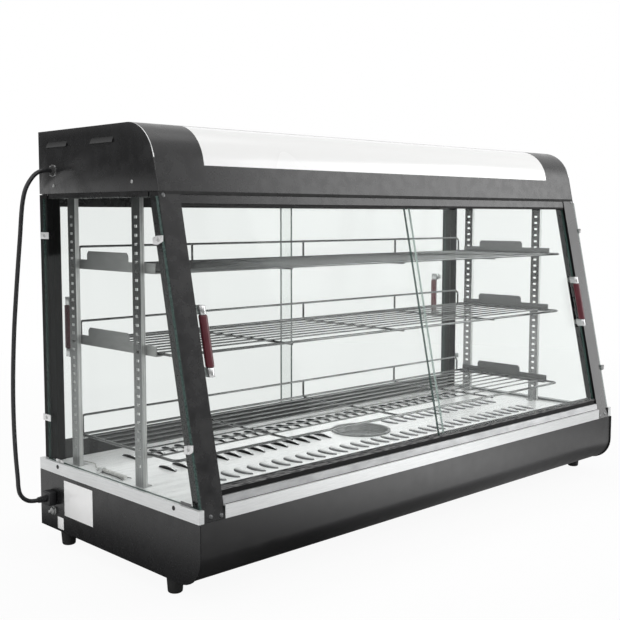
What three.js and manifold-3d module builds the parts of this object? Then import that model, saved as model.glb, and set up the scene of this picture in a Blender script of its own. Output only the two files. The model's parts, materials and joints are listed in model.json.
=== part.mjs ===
import * as THREE from 'three';
import { mergeVertices } from 'three/addons/utils/BufferGeometryUtils.js';
import Module from 'manifold-3d';

const wasm = await Module();
wasm.setup();

// A pastry warmer: a dark base on feet, a glazed case with sliding doors, three wire shelves and a lit hood.
// X runs along the long front, Y from the front to the back and Z up. Lengths are in millimetres.

// Driving dimensions of the whole object
const overallWidth = 1200;
const overallDepth = 475;
const overallHeight = 740.8;
const bodyBottom = 27;
const baseTop = 130.3;
const trimTop = 151.1;
const hoodHeight = 109.7;
const halfWidth = overallWidth / 2;
const hoodBottom = overallHeight - hoodHeight;
const slopeShare = 0.2163;
const slopeY = (z) => (z - baseTop) * slopeShare;
const frameInset = 10.45;
const rearInset = 2.3;

// Sheet and glass thicknesses, and the gap kept between neighbours
const sheet = 1.5;
const heavySheet = 2;
const trimSheet = 1.2;
const glassThickness = 5;
const seat = 0.3;

// Base body
const baseCornerRadius = 50;
const baseEndProud = 2.5;
const baseFlange = 12;
const arcSteps = 10;

// Feet
const footTopRadius = 14;
const footBottomRadius = 12;
const footChamfer = 2;
const footInsetX = 17;
const footFrontY = 85;
const footRearInset = 67;
const footSides = 16;

// Trim round the foot of the case, with the sloped sill under the front doors
const trimTopFlange = 12;
const trimBottomFlange = 34;
const sillTop = 164;
const sillFlange = 27;

// Floor plate and its pressed louvres
const floorTop = 146;
const floorSheet = 1.2;
const floorInset = 12.3;
const floorRim = 14.2;
const louvrePitch = 29.6;
const louvreMargin = 112;
const louvresPerSide = Math.floor((halfWidth - louvreMargin) / louvrePitch);
const louvreHalfLength = 25;
const louvreWidth = 12;
const louvreRise = 6;
const louvreSkin = 0.9;
const louvreSteps = 4;
const louvreRoundSides = 4;
const louvreFrontRow = 150.5;
const louvreRearInset = 102.5;
const louvreRearRow = overallDepth - louvreRearInset;
const louvreMiddleShift = 5;
const louvreMiddleRow = (louvreFrontRow + louvreRearRow) / 2 - louvreMiddleShift;
const louvreFreeHalf = 92;

// Water dish that hangs in the floor plate
const dishX = 9;
const dishBehindMiddle = 2.5;
const dishY = overallDepth / 2 + dishBehindMiddle;
const dishRadius = 62;
const dishHoleRadius = 59;
const dishWallGap = 1;
const dishFloorRadius = 52;
const dishDepth = 16;
const dishRise = 4.2;
const dishSides = 28;

// Front pillars and rear posts
const pillarWidth = 40.75;
const pillarDepth = 24;
const frameTopDrop = 1.8;
const frameTop = hoodBottom - frameTopDrop;
const postWidth = 26.05;
const postDepth = 25.5;

// Sliding door tracks
const trackWall = 1.8;
const trackGroove = 7;
const trackWeb = 1.7;
const frontTrackOffset = 3;
const frontTrackTop = 175;
const rearTrackInset = 25;
const rearTrackFront = overallDepth - rearTrackInset;
const rearTrackTop = 178;
const rearTrackGroove = 10;
const openingDrop = 23.6;
const openingTop = hoodBottom - openingDrop;
const rearOpeningRise = 1;
const rearOpeningTop = openingTop + rearOpeningRise;
const topTrackDepth = 12.5;

// Top frame
const ceilingTop = hoodBottom - seat;
const ceilingSheet = 1.2;
const headerRecess = 1.5;
const headerJoggle = 6.5;
const headerJoggleDrop = 3.6;
const headerJoggleZ = hoodBottom - headerJoggleDrop;
const headerDrop = 19.1;
const headerBottom = hoodBottom - headerDrop;
const railInset = 12.5;
const railWidth = 17.5;
const railDrop = 9.1;
const railBottom = hoodBottom - railDrop;
const railFrontGap = 29.68;
const railFront = slopeY(hoodBottom) + railFrontGap;
const railRearInset = 28.5;
const railRear = overallDepth - railRearInset;

// Doors and their handles
const doorLift = 0.8;
const doorTopGap = 4;
const doorSideGap = 0.6;
const frontLeftDoorEnd = 15;
const frontRightDoorStart = -10;
const rearLeftDoorEnd = 11;
const rearRightDoorStart = -12;
const gripHalf = 40.5;
const frontHandleDrop = 209.5;
const frontHandleZ = openingTop - frontHandleDrop;
const rearHandleDrop = 220.5;
const rearHandleZ = rearOpeningTop - rearHandleDrop;
const handleInset = 12;
const rearHandleInset = 25;
const handleStandOff = 12.2;
const handleStrapWidth = 9;
const handleStrap = 3;
const handleEndRadius = 5.8;
const handleEndLength = 15;
const handleEndSteps = 6;
const handleReach = gripHalf + handleEndLength;
const gripRadius = 7.2;
const gripRound = 1.5;
const gripSides = 12;

// End glasses
const endGlassInset = 4.9;
const endGlassOffset = 1;
const endGlassRearInset = 23;
const endGlassRear = overallDepth - endGlassRearInset;
const endGlassDrop = 8.1;
const endGlassTop = hoodBottom - endGlassDrop;

// Slotted standards
const standardInset = 25.4;
const standardDepth = 8.2;
const standardWidth = 23;
const standardBehindBracket = 40.1;
const standardRearInset = 83.6;
const standardRearY = overallDepth - standardRearInset;
const standardFoot = 11;
const standardFootWidth = 16;
const slotPitch = 14.62;
const slotTopDrop = 40.66;
const slotTopZ = hoodBottom - slotTopDrop;
const slotLowest = 175;
const slotCount = Math.floor((slotTopZ - slotLowest) / slotPitch) + 1;
const slotWidth = 8;
const slotHeight = 4.6;
const hookWidth = 8;
const hookThickness = 3;
const hookReach = 15;

// Shelf brackets
const topShelfDrop = 127.2;
const middleShelfDrop = 260.7;
const lowerShelfRise = 53.2;
const shelfHeights = {
  top: hoodBottom - topShelfDrop,
  middle: hoodBottom - middleShelfDrop,
  lower: floorTop + lowerShelfRise,
};
const bracketRearInset = 72;
const bracketRearY = overallDepth - bracketRearInset;
const shelfFrontGap = 36.39;
const shelfFront = slopeY(shelfHeights.top) + shelfFrontGap;
const bracketBehindShelf = 35.3;
const bracketFrontY = shelfFront + bracketBehindShelf;
const standardFrontY = bracketFrontY + standardBehindBracket;
const bracketAbove = 12.5;
const bracketBelow = 2.8;
const bracketTabFrontShare = 0.3074;
const bracketTabRearShare = 0.8104;
const bracketTabFront = bracketFrontY + (bracketRearY - bracketFrontY) * bracketTabFrontShare;
const bracketTabRear = bracketFrontY + (bracketRearY - bracketFrontY) * bracketTabRearShare;
const bracketTabAbove = 27.5;
const bracketTabCut = 5;
const bracketLedge = 11;
const tongueWidth = 7;
const tongueHeight = 3.8;
const tongueReach = 3.5;

// Wire shelves
const shelfInset = 43.7;
const shelfBackInset = 74;
const shelfBack = overallDepth - shelfBackInset;
const frameWireRadius = 2.5;
const longWireRadius = 1.6;
const crossWireRadius = 2.2;
const longWireFrontGap = 49.8;
const longWireFirst = shelfFront + longWireFrontGap;
const longWireBackGap = 25.75;
const longWireCount = 8;
const longWireRun = shelfBack - longWireBackGap - longWireFirst;
const longWirePitch = longWireRun / (longWireCount - 1);
const shelfCorner = 12;
const crossWireShares = [-0.5, 0, 0.5];
const crossBend = 8;
const guardRise = 33.5;
const guardInset = 57;
const guardLeftInset = 48.9;
const guardLeftCorner = 4;
const guardBackInset = 69.7;
const guardBack = overallDepth - guardBackInset;
const weldBite = 0.5;
const frameWireSides = 6;
const crossWireSides = 6;
const longWireSides = 6;
const cornerSteps = 3;

// Hood
const hoodArcRadius = 73.3;
const hoodArcZ = overallHeight - hoodArcRadius;
const hoodTopFront = slopeY(hoodArcZ) + hoodArcRadius * Math.hypot(1, slopeShare);
const hoodArcSteps = 12;
const hoodFlange = 12;
const hoodFlangeGap = 5;
const windowInset = 107.5;
const windowDrop = 67.8;
const windowBottom = overallHeight - windowDrop;
const windowRearGap = 7.2;
const windowRearY = hoodTopFront - windowRearGap;
const windowFlange = 8;
const windowLap = 5;
const windowSheet = 1.5;
const windowRecess = 0.3;
const ventInsets = [67, 211];
const ventHalf = 34;
const ventDrop = 19.3;
const ventTop = overallHeight - ventDrop;
const ventHeight = 10;
const ventBottom = ventTop - ventHeight;
const ventProud = 3;
const ventSkin = 1;

// Lamp inside the hood
const lampLead = 1.2;
const lampY = hoodTopFront - lampLead;
const lampDrop = 52.8;
const lampZ = overallHeight - lampDrop;
const lampRadius = 13;
const lampInset = 152.5;
const lampLength = (halfWidth - lampInset) * 2;
const lampSides = 16;
const battenWidth = 44;
const battenHeight = 16;
const holderThickness = 8;
const holderHalf = 15;
const holderAbove = 16;

// Heating element under the floor
const elementRadius = 4;
const elementZ = 92;
const elementFrontY = 130;
const elementRearInset = 125;
const elementRearY = overallDepth - elementRearInset;
const elementInset = 120;
const elementHalf = halfWidth - elementInset;
const elementBend = 30;
const elementSides = 8;
const saddleInset = 120;
const saddleX = elementHalf - saddleInset;
const saddleThickness = 3;
const saddleReach = 12;

// Thermostat bulb on the floor, with its capillary tube
const bulbInset = 35;
const bulbX = bulbInset - halfWidth;
const bulbRearInset = 144;
const bulbRear = overallDepth - bulbRearInset;
const bulbLength = 83;
const bulbFront = bulbRear - bulbLength;
const bulbRadius = 3.5;
const bulbSides = 12;
const capillaryRadius = 1.2;
const capillarySides = 6;
const capillarySwing = 13.5;
const capillaryInset = 5;
const capillaryExitX = bulbX + capillaryInset;
const capillaryRearInset = 57;
const capillaryExitY = overallDepth - capillaryRearInset;
const capillaryBend = 8;
const capillaryHole = 3;
const capillaryHoleSides = 12;

// Knob, rocker switches and mains gland on the back of the base
const controlZ = 82;
const knobInset = 130;
const knobX = knobInset - halfWidth;
const knobRadius = 19;
const knobRound = 2;
const knobHeight = 17;
const knobSides = 20;
const knobSkirt = 22;
const knobSkirtHeight = 4;
const pointerWidth = 3;
const pointerLength = 15;
const pointerRise = 0.8;
const shaftRadius = 4;
const shaftReach = 14;
const lampSwitchInset = 200;
const switchPitch = 40;
const heaterSwitchInset = lampSwitchInset + switchPitch;
const switchXs = { lamp_switch: lampSwitchInset - halfWidth, heater_switch: heaterSwitchInset - halfWidth };
const rockerWidth = 13;
const rockerHeight = 19;
const rockerProud = 3;
const rockerDip = 1;
const rockerReach = 12;
const rockerTailHalf = 5;
const rockerTilt = 9;
const rockerClearance = 1.2;
const glandPitch = 60;
const glandInset = heaterSwitchInset + glandPitch;
const glandX = glandInset - halfWidth;
const glandRadius = 10;
const glandTail = 8;
const glandFlangeRadius = 14;
const glandFlange = 4;
const glandNoseRadius = 9;
const glandLength = 16;
const glandBore = 4.5;
const glandSides = 16;

// Link cord between the hood and the base, with its grommet and plug
const cordRadius = 3.8;
const cordSides = 8;
const cordSteps = 36;
const cordExitInset = 51;
const cordExitY = overallDepth - cordExitInset;
const cordExitRise = 39.9;
const cordExitZ = hoodBottom + cordExitRise;
const grommetRadius = 9;
const grommetBarrelRadius = 6.2;
const grommetBarrel = 4;
const grommetNoseRadius = 6.5;
const grommetFlange = 2;
const grommetNose = 2.2;
const grommetSides = 14;
const plugInset = 45;
const plugY = overallDepth - plugInset;
const plugZ = 85.5;
const plugHalf = 12.5;
const plugLength = 15;
const plugNoseHalf = 9;
const plugNoseReach = 6;
const reliefRadius = 6.5;
const reliefWaist = 5;
const reliefLength = 16.4;
const reliefRibs = 3;
const reliefSides = 12;

// Values worked out from the driving dimensions
const halfFrame = halfWidth - frameInset;
const rearFace = overallDepth - rearInset;
const shellRear = overallDepth - baseEndProud;
const shellBottom = bodyBottom + baseEndProud;
const floorHalf = halfWidth - floorInset;
const pillarInner = halfFrame - pillarWidth - seat;
const postInner = halfFrame - postWidth - seat;
const trackDepth = trackGroove * 2 + trackWall * 3;
const groovePitch = trackGroove + trackWall;
const grooveCentre = trackWall + trackGroove / 2;
const frontGrooveFloor = sillTop + seat + trackWeb;
const rearGrooveFloor = rearTrackTop - rearTrackGroove;
const standardFace = halfWidth - standardInset - standardDepth;
const standardBottom = floorTop + seat;
const standardTop = railBottom - seat;
const bracketFace = standardFace - seat;
const backmost = shellRear + seat + knobHeight;
const middleY = (backmost - baseEndProud) / 2;

// Colours and finishes
const finish = (color, roughness, metalness) => ({ color, roughness, metalness, flatShading: true });
const blackSheet = finish(0x3c3c3e, 0.32, 0.1);
const steel = finish(0xc3c5c7, 0.32, 0.85);
const zincSteel = finish(0x9a9c9e, 0.4, 0.8);
const chromeWire = finish(0xa6a8aa, 0.25, 0.95);
const floorSteel = finish(0xf0f1f0, 0.35, 0.5);
const trackBlack = finish(0x2c2c2e, 0.45, 0.2);
const clearGlass = { ...finish(0xdfe9e6, 0.05, 0), transparent: true, opacity: 0.28 };
const maroon = finish(0x6e2831, 0.4, 0);
const rubber = finish(0x1d1d1f, 0.7, 0);
const whiteAcrylic = finish(0xf6f6f4, 0.25, 0);
const whitePaint = finish(0xe8e8e6, 0.45, 0.1);
const elementGrey = finish(0x6f6c68, 0.5, 0.7);
const nickel = finish(0xc9c9c6, 0.3, 0.9);
const blackPlastic = finish(0x202022, 0.4, 0);

const warmer = new THREE.Group();
warmer.position.y = -middleY;

// Geometry and solids
function signedVolume(positions, indices) {
  const corners = [new THREE.Vector3(), new THREE.Vector3(), new THREE.Vector3()];
  let total = 0;
  for (let start = 0; start < indices.length; start += corners.length) {
    corners.forEach((corner, index) => corner.fromArray(positions, indices[start + index] * corners.length));
    total += corners[0].dot(corners[1].clone().cross(corners[2]));
  }
  return total;
}

function solidOf(geometry) {
  const plain = geometry.clone();
  plain.deleteAttribute('normal');
  plain.deleteAttribute('uv');
  const merged = mergeVertices(plain);
  const positions = merged.attributes.position.array;
  const faces = [];
  const source = merged.index.array;
  for (let start = 0; start < source.length; start += 3) {
    const [a, b, c] = [source[start], source[start + 1], source[start + 2]];
    if (a !== b && b !== c && c !== a) {
      faces.push(a, b, c);
    }
  }
  if (signedVolume(positions, faces) < 0) {
    faces.reverse();
  }
  const vertProperties = new Float32Array(positions);
  const triVerts = new Uint32Array(faces);
  return new wasm.Manifold(new wasm.Mesh({ numProp: 3, vertProperties, triVerts }));
}

function joined(solids) {
  return solids.reduce((whole, solid) => whole.add(solid));
}

function geometryOf(solid) {
  const mesh = solid.getMesh();
  const geometry = new THREE.BufferGeometry();
  geometry.setAttribute('position', new THREE.BufferAttribute(mesh.vertProperties, mesh.numProp));
  geometry.setIndex(new THREE.BufferAttribute(mesh.triVerts, 1));
  return geometry;
}

function addGeometry(name, geometry, look) {
  geometry.computeVertexNormals();
  const piece = new THREE.Mesh(geometry, new THREE.MeshStandardMaterial(look));
  piece.name = name;
  warmer.add(piece);
}

function addPiece(name, solid, look) {
  addGeometry(name, geometryOf(solid), look);
}

// An upright solid leaned back along the front slope
function addLeanedPiece(name, solid, look) {
  const lean = new THREE.Matrix4();
  lean.set(1, 0, 0, 0, 0, 1, slopeShare, -baseTop * slopeShare, 0, 0, 1, 0, 0, 0, 0, 1);
  addGeometry(name, geometryOf(solid).applyMatrix4(lean), look);
}

function vectors(points) {
  return points.map(([x, y]) => new THREE.Vector2(x, y));
}

function shapeOf(points, holes = []) {
  const shape = new THREE.Shape(vectors(points));
  holes.forEach((hole) => shape.holes.push(new THREE.Path(vectors(hole))));
  return shape;
}

// A plan outline in X and Y, extruded upwards
function upward(shape, bottom, top) {
  const geometry = new THREE.ExtrudeGeometry(shape, { depth: top - bottom, bevelEnabled: false });
  geometry.translate(0, 0, bottom);
  return solidOf(geometry);
}

// A side outline in Y and Z, extruded along X
function lengthwise(shape, oneEnd, otherEnd) {
  const depth = Math.abs(otherEnd - oneEnd);
  const geometry = new THREE.ExtrudeGeometry(shape, { depth, bevelEnabled: false });
  const turn = new THREE.Matrix4().set(0, 0, 1, 0, 1, 0, 0, 0, 0, 1, 0, 0, 0, 0, 0, 1);
  geometry.applyMatrix4(turn);
  geometry.translate(Math.min(oneEnd, otherEnd), 0, 0);
  return solidOf(geometry);
}

function block([x0, x1], [y0, y1], [z0, z1]) {
  const geometry = new THREE.BoxGeometry(Math.abs(x1 - x0), Math.abs(y1 - y0), Math.abs(z1 - z0));
  geometry.translate((x0 + x1) / 2, (y0 + y1) / 2, (z0 + z1) / 2);
  return solidOf(geometry);
}

function around(middle, half) {
  return [middle - half, middle + half];
}

function rectangle([left, right], [front, back]) {
  return [[left, front], [right, front], [right, back], [left, back]];
}

function arc(centre, radius, fromDegrees, toDegrees, steps) {
  return Array.from({ length: steps + 1 }, (unused, index) => {
    const angle = THREE.MathUtils.degToRad(fromDegrees + ((toDegrees - fromDegrees) * index) / steps);
    return [centre[0] + radius * Math.cos(angle), centre[1] + radius * Math.sin(angle)];
  });
}

// The line at a given distance to the left of a path, with mitred corners
function offsetLine(path, distance) {
  const points = vectors(path);
  const sides = points.slice(1).map((point, index) => {
    const along = point.clone().sub(points[index]).normalize();
    return new THREE.Vector2(-along.y, along.x);
  });
  return points.map((point, index) => {
    const before = sides[Math.max(index - 1, 0)];
    const after = sides[Math.min(index, sides.length - 1)];
    const middle = before.clone().add(after).normalize();
    const reach = distance / middle.dot(after);
    return [point.x + middle.x * reach, point.y + middle.y * reach];
  });
}

// The outline of a bent sheet that lies to the left of a path
function bentSheet(path, thickness, start = 0) {
  return shapeOf([...offsetLine(path, start), ...offsetLine(path, start + thickness).reverse()]);
}

// A line through chosen stations, with one extrusion step from each to the next
class StationLine extends THREE.Curve {
  constructor(stations) {
    super();
    this.stations = stations.map((station) => new THREE.Vector3(...station));
  }

  getUtoTmapping(share) {
    return share;
  }

  getPoint(share, target = new THREE.Vector3()) {
    const last = this.stations.length - 1;
    const place = THREE.MathUtils.clamp(share, 0, 1) * last;
    const index = Math.min(Math.floor(place), last - 1);
    return target.lerpVectors(this.stations[index], this.stations[index + 1], place - index);
  }
}

function roundSection(radius, sides) {
  const corners = Array.from({ length: sides }, (unused, index) => {
    const angle = ((index + 0.5) / sides) * Math.PI * 2;
    return [radius * Math.cos(angle), radius * Math.sin(angle)];
  });
  return shapeOf(corners);
}

function wire(stations, radius, sides) {
  const extrudePath = new StationLine(stations);
  const steps = stations.length - 1;
  return solidOf(new THREE.ExtrudeGeometry(roundSection(radius, sides), { steps, extrudePath }));
}

// A solid of revolution that rises from a base point along X, Y or Z
function turned(profile, sides, axis, base) {
  const geometry = new THREE.LatheGeometry(vectors(profile), sides);
  if (axis === 'x') {
    geometry.rotateZ(-Math.PI / 2);
  }
  if (axis === 'z') {
    geometry.rotateX(Math.PI / 2);
  }
  geometry.translate(...base);
  return solidOf(geometry);
}

function rod(radius, sides, axis, base, length) {
  return turned([[0, 0], [radius, 0], [radius, length], [0, length]], sides, axis, base);
}

// Both sides of a pair: -1 is the left side, 1 the right
const pairSides = { left: -1, right: 1 };

function forEachSide(build) {
  Object.entries(pairSides).forEach(([label, side]) => build(label, side));
}

function sideSpan(side, near, far) {
  return [side * near, side * far];
}

// Base body
function baseCorner(proud) {
  const centre = [baseCornerRadius - baseEndProud, bodyBottom + baseCornerRadius];
  return arc(centre, baseCornerRadius - baseEndProud + proud, 180, 270, arcSteps);
}

function rockerSolid(x, tilt) {
  const halfHeight = rockerHeight / 2;
  const outline = [
    [-rockerReach, -rockerTailHalf],
    [0, -halfHeight],
    [rockerProud, -halfHeight],
    [rockerProud - rockerDip, 0],
    [rockerProud, halfHeight],
    [0, halfHeight],
    [-rockerReach, rockerTailHalf],
  ];
  const turn = THREE.MathUtils.degToRad(tilt);
  const tilted = outline.map(([y, z]) => [
    shellRear + y * Math.cos(turn) - z * Math.sin(turn),
    controlZ + y * Math.sin(turn) + z * Math.cos(turn),
  ]);
  return lengthwise(shapeOf(tilted), x - rockerWidth / 2, x + rockerWidth / 2);
}

function addBaseShell() {
  const top = baseTop - seat;
  const path = [
    [baseFlange, top],
    [0, top],
    ...baseCorner(0),
    [shellRear, shellBottom],
    [shellRear, top],
    [shellRear - baseFlange, top],
  ];
  const half = halfWidth - heavySheet - seat;
  const cutFront = shellRear - baseFlange / 2;
  const cutDepth = [cutFront, shellRear + baseFlange];
  const switchCuts = Object.values(switchXs).map((x) =>
    block(
      around(x, rockerWidth / 2 + seat),
      cutDepth,
      around(controlZ, rockerHeight / 2 + rockerClearance),
    ),
  );
  const cuts = joined([
    ...switchCuts,
    rod(shaftRadius + seat, knobSides, 'y', [knobX, cutFront, controlZ], baseFlange),
    rod(glandRadius + seat, glandSides, 'y', [glandX, cutFront, controlZ], baseFlange),
  ]);
  addPiece('base_shell', lengthwise(bentSheet(path, sheet), -half, half).subtract(cuts), blackSheet);
}

function addBaseEnds() {
  const top = baseTop - seat;
  const corner = baseCorner(baseEndProud);
  const outline = [[-baseEndProud, top], ...corner, [overallDepth, bodyBottom], [overallDepth, top]];
  const plug = around(plugY, plugNoseHalf + seat);
  const plugHole = rectangle(plug, around(plugZ, plugNoseHalf + seat));
  const inner = halfWidth - heavySheet;
  addPiece('base_end_left', lengthwise(shapeOf(outline, [plugHole]), -inner, -halfWidth), blackSheet);
  addPiece('base_end_right', lengthwise(shapeOf(outline), inner, halfWidth), blackSheet);
}

function addFeet() {
  const height = shellBottom - seat;
  const profile = [
    [0, 0],
    [footBottomRadius - footChamfer, 0],
    [footBottomRadius, footChamfer],
    [footTopRadius, height],
    [0, height],
  ];
  const rows = { front: footFrontY, rear: overallDepth - footRearInset };
  forEachSide((label, side) => {
    Object.entries(rows).forEach(([row, y]) => {
      const base = [side * (halfWidth - footInsetX), y, 0];
      addPiece(`foot_${row}_${label}`, turned(profile, footSides, 'z', base), rubber);
    });
  });
}

// Trim and floor
function cornerNotches(bottom, top) {
  const height = [bottom, top];
  const outer = halfFrame + seat;
  const pillarDepths = [-pillarDepth, slopeY(trimTop) + pillarDepth + seat];
  const postDepths = [rearFace - postDepth - seat, overallDepth + postDepth];
  const notches = Object.values(pairSides).flatMap((side) => [
    block(sideSpan(side, halfFrame - pillarWidth - seat, outer), pillarDepths, height),
    block(sideSpan(side, halfFrame - postWidth - seat, outer), postDepths, height),
  ]);
  return joined(notches);
}

function trimRing(inset, bottom, top) {
  const outer = rectangle(around(0, halfWidth), [0, overallDepth]);
  const inner = rectangle(around(0, halfWidth - inset), [inset, overallDepth - inset]);
  return upward(shapeOf(outer, [inner]), bottom, top);
}

function frontSill() {
  const seatZ = trimTop - trimSheet / 2;
  const back = slopeY(sillTop) + sillFlange;
  const path = [
    [back, floorTop + seat],
    [back, sillTop],
    [slopeY(sillTop), sillTop],
    [slopeY(seatZ), seatZ],
  ];
  return lengthwise(bentSheet(path, trimSheet), -pillarInner, pillarInner);
}

function addBaseTrim() {
  const ring = joined([
    trimRing(trimSheet, baseTop, trimTop),
    trimRing(trimTopFlange, trimTop - trimSheet, trimTop),
    trimRing(trimBottomFlange, baseTop, baseTop + trimSheet),
  ]);
  const notched = ring.subtract(cornerNotches(baseTop - seat, trimTop + seat));
  addPiece('base_trim', notched.add(frontSill()), steel);
}

// A quarter of an ellipsoid: the hood that is pressed up on one side of a louvre's slit
function louvreDome(inset) {
  const geometry = new THREE.SphereGeometry(1, louvreRoundSides, louvreSteps);
  geometry.scale(louvreWidth - inset, louvreHalfLength - inset, louvreRise - inset);
  return solidOf(geometry);
}

function louvreHood(x, y, closedSide) {
  const depths = around(0, louvreHalfLength);
  const quarter = block([0, closedSide * louvreWidth], depths, [0, louvreRise]);
  const hood = louvreDome(0).subtract(louvreDome(louvreSkin)).intersect(quarter);
  return solidOf(geometryOf(hood).translate(x, y, floorTop));
}

function louvreSlit(x, y, closedSide) {
  const steps = louvreSteps;
  const lens = Array.from({ length: steps + 1 }, (unused, index) => {
    const angle = (index / steps) * Math.PI;
    const width = (louvreWidth - louvreSkin) * Math.sin(angle);
    return [x + closedSide * width, y + (louvreHalfLength - louvreSkin) * Math.cos(angle)];
  });
  return upward(shapeOf(lens), floorTop - floorSheet - seat, floorTop + seat);
}

function louvrePlaces() {
  const counts = Array.from({ length: louvresPerSide * 2 + 1 }, (unused, index) => index - louvresPerSide);
  return counts.flatMap((count) => {
    const x = count * louvrePitch;
    const besideDish = Math.abs(x - dishX) > louvreFreeHalf;
    const places = [
      { x, y: louvreFrontRow, closedSide: -1 },
      { x, y: louvreRearRow, closedSide: 1 },
    ];
    if (besideDish) {
      places.push({ x, y: louvreMiddleRow, closedSide: x < dishX ? 1 : -1 });
    }
    return places;
  });
}

function addFloorPlate() {
  const sides = around(0, floorHalf);
  const depths = [floorInset, overallDepth - floorInset];
  const outer = rectangle(sides, depths);
  const innerDepths = [depths[0] + floorSheet, depths[1] - floorSheet];
  const inner = rectangle(around(0, floorHalf - floorSheet), innerDepths);
  const plate = upward(shapeOf(outer), floorTop - floorSheet, floorTop);
  const rim = upward(shapeOf(outer, [inner]), floorTop - floorRim, floorTop);
  const low = floorTop - floorRim - seat;
  const cuts = joined([
    cornerNotches(low, floorTop + seat),
    rod(dishHoleRadius, dishSides, 'z', [dishX, dishY, low], floorRim * 2),
    rod(capillaryHole, capillaryHoleSides, 'z', [capillaryExitX, capillaryExitY, low], floorRim * 2),
  ]);
  const places = louvrePlaces();
  const slits = joined(places.map(({ x, y, closedSide }) => louvreSlit(x, y, closedSide)));
  const hoods = joined(places.map(({ x, y, closedSide }) => louvreHood(x, y, closedSide)));
  addPiece('floor_plate', plate.add(rim).subtract(cuts).subtract(slits).add(hoods), floorSteel);
}

function addWaterDish() {
  const wallRadius = dishHoleRadius - dishWallGap;
  const rimTop = floorTop + dishRise;
  const floorZ = rimTop - dishDepth;
  const profile = [
    [0, floorZ],
    [dishFloorRadius, floorZ],
    [wallRadius, rimTop - trimSheet],
    [dishRadius - trimSheet, rimTop - trimSheet],
    [dishRadius - trimSheet, floorTop + seat],
    [dishRadius, floorTop + seat],
    [dishRadius, rimTop],
    [wallRadius - trimSheet, rimTop],
    [dishFloorRadius - trimSheet, floorZ + trimSheet],
    [0, floorZ + trimSheet],
  ];
  addPiece('water_dish', turned(profile, dishSides, 'z', [dishX, dishY, 0]), steel);
}

function addHeatingElement() {
  const left = -elementHalf;
  const corner = elementBend;
  const turnFront = arc([left + corner, elementFrontY + corner], corner, 270, 180, cornerSteps);
  const turnRear = arc([left + corner, elementRearY - corner], corner, 180, 90, cornerSteps);
  const line = [[elementHalf, elementFrontY], ...turnFront, ...turnRear, [elementHalf, elementRearY]];
  const tube = wire(line.map(([x, y]) => [x, y, elementZ]), elementRadius, elementSides);
  const depths = [elementFrontY - saddleReach, elementRearY + saddleReach];
  const heights = [shellBottom + sheet + seat, elementZ];
  const saddles = around(0, saddleX).map((x) => block(around(x, saddleThickness / 2), depths, heights));
  addPiece('heating_element', joined([tube, ...saddles]), elementGrey);
}

function addThermostatBulb() {
  const z = floorTop + seat + bulbRadius;
  const bulb = rod(bulbRadius, bulbSides, 'y', [bulbX, bulbFront, z], bulbRear - bulbFront);
  const low = floorTop - floorRim;
  const middleY = (bulbRear + capillaryExitY) / 2;
  const capillary = wire(
    [
      [bulbX, bulbRear - bulbRadius, z],
      [bulbX, bulbRear + capillaryBend, z],
      [bulbX + capillarySwing, middleY - capillaryBend, z],
      [bulbX + capillarySwing, middleY + capillaryBend, z],
      [capillaryExitX, capillaryExitY - capillaryBend, z],
      [capillaryExitX, capillaryExitY, floorTop],
      [capillaryExitX, capillaryExitY, low],
    ],
    capillaryRadius,
    capillarySides,
  );
  addPiece('thermostat_bulb', bulb.add(capillary), nickel);
}

// Case frame
function channelOutline(side, near, far, front, back, openSide) {
  const outer = rectangle(sideSpan(side, near, far), [front, back]);
  const spare = openSide * (back - front);
  const inner = rectangle(
    sideSpan(side, near + sheet, far - sheet),
    [front + sheet + Math.min(spare, 0), back - sheet + Math.max(spare, 0)],
  );
  return { outer, inner };
}

function channel(side, [near, far], [front, back], [bottom, top], openSide) {
  const { outer, inner } = channelOutline(side, near, far, front, back, openSide);
  const hollow = upward(shapeOf(inner), bottom - seat, top + seat);
  return upward(shapeOf(outer), bottom, top).subtract(hollow);
}

function addPillarsAndPosts() {
  const heights = [baseTop, frameTop];
  forEachSide((label, side) => {
    const pillar = channel(side, [pillarInner + seat, halfFrame], [0, pillarDepth], heights, 1);
    addLeanedPiece(`front_pillar_${label}`, pillar, blackSheet);
    const post = channel(side, [postInner + seat, halfFrame], [rearFace - postDepth, rearFace], heights, -1);
    addPiece(`rear_post_${label}`, post, blackSheet);
  });
}

// A track has three walls on one side of its web and two legs on the other
function trackOutline({ start, webNear, webFar, wallEnd, legEnds }) {
  const walls = [0, 1, 2].map((index) => start + index * (trackWall + trackGroove));
  const grooves = walls.flatMap((wall) => [
    [wall, webNear],
    [wall, wallEnd],
    [wall + trackWall, wallEnd],
    [wall + trackWall, webNear],
  ]);
  const inner = grooves.slice(1, -1);
  const last = walls[2];
  const outline = [
    [start, legEnds[0]],
    ...inner,
    [last + trackWall, legEnds[1]],
    [last, legEnds[1]],
    [last, webFar],
    [start + trackWall, webFar],
    [start + trackWall, legEnds[0]],
  ];
  return outline.filter((point, index) => {
    const before = outline[(index || outline.length) - 1];
    return point[0] !== before[0] || point[1] !== before[1];
  });
}

function leanedPoints(points) {
  return points.map(([offset, z]) => [slopeY(z) + offset, z]);
}

function addFrontTracks() {
  const bottom = trackOutline({
    start: frontTrackOffset,
    webNear: frontGrooveFloor,
    webFar: sillTop + seat,
    wallEnd: frontTrackTop,
    legEnds: [sillTop + seat, sillTop + seat],
  });
  const top = trackOutline({
    start: frontTrackOffset,
    webNear: openingTop + topTrackDepth,
    webFar: openingTop + topTrackDepth + trackWeb,
    wallEnd: openingTop,
    legEnds: [headerJoggleZ - ceilingSheet - seat, frameTop],
  });
  const ends = [-pillarInner, pillarInner];
  addPiece('front_track_bottom', lengthwise(shapeOf(leanedPoints(bottom)), ...ends), trackBlack);
  addPiece('front_track_top', lengthwise(shapeOf(leanedPoints(top)), ...ends), trackBlack);
}

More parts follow.
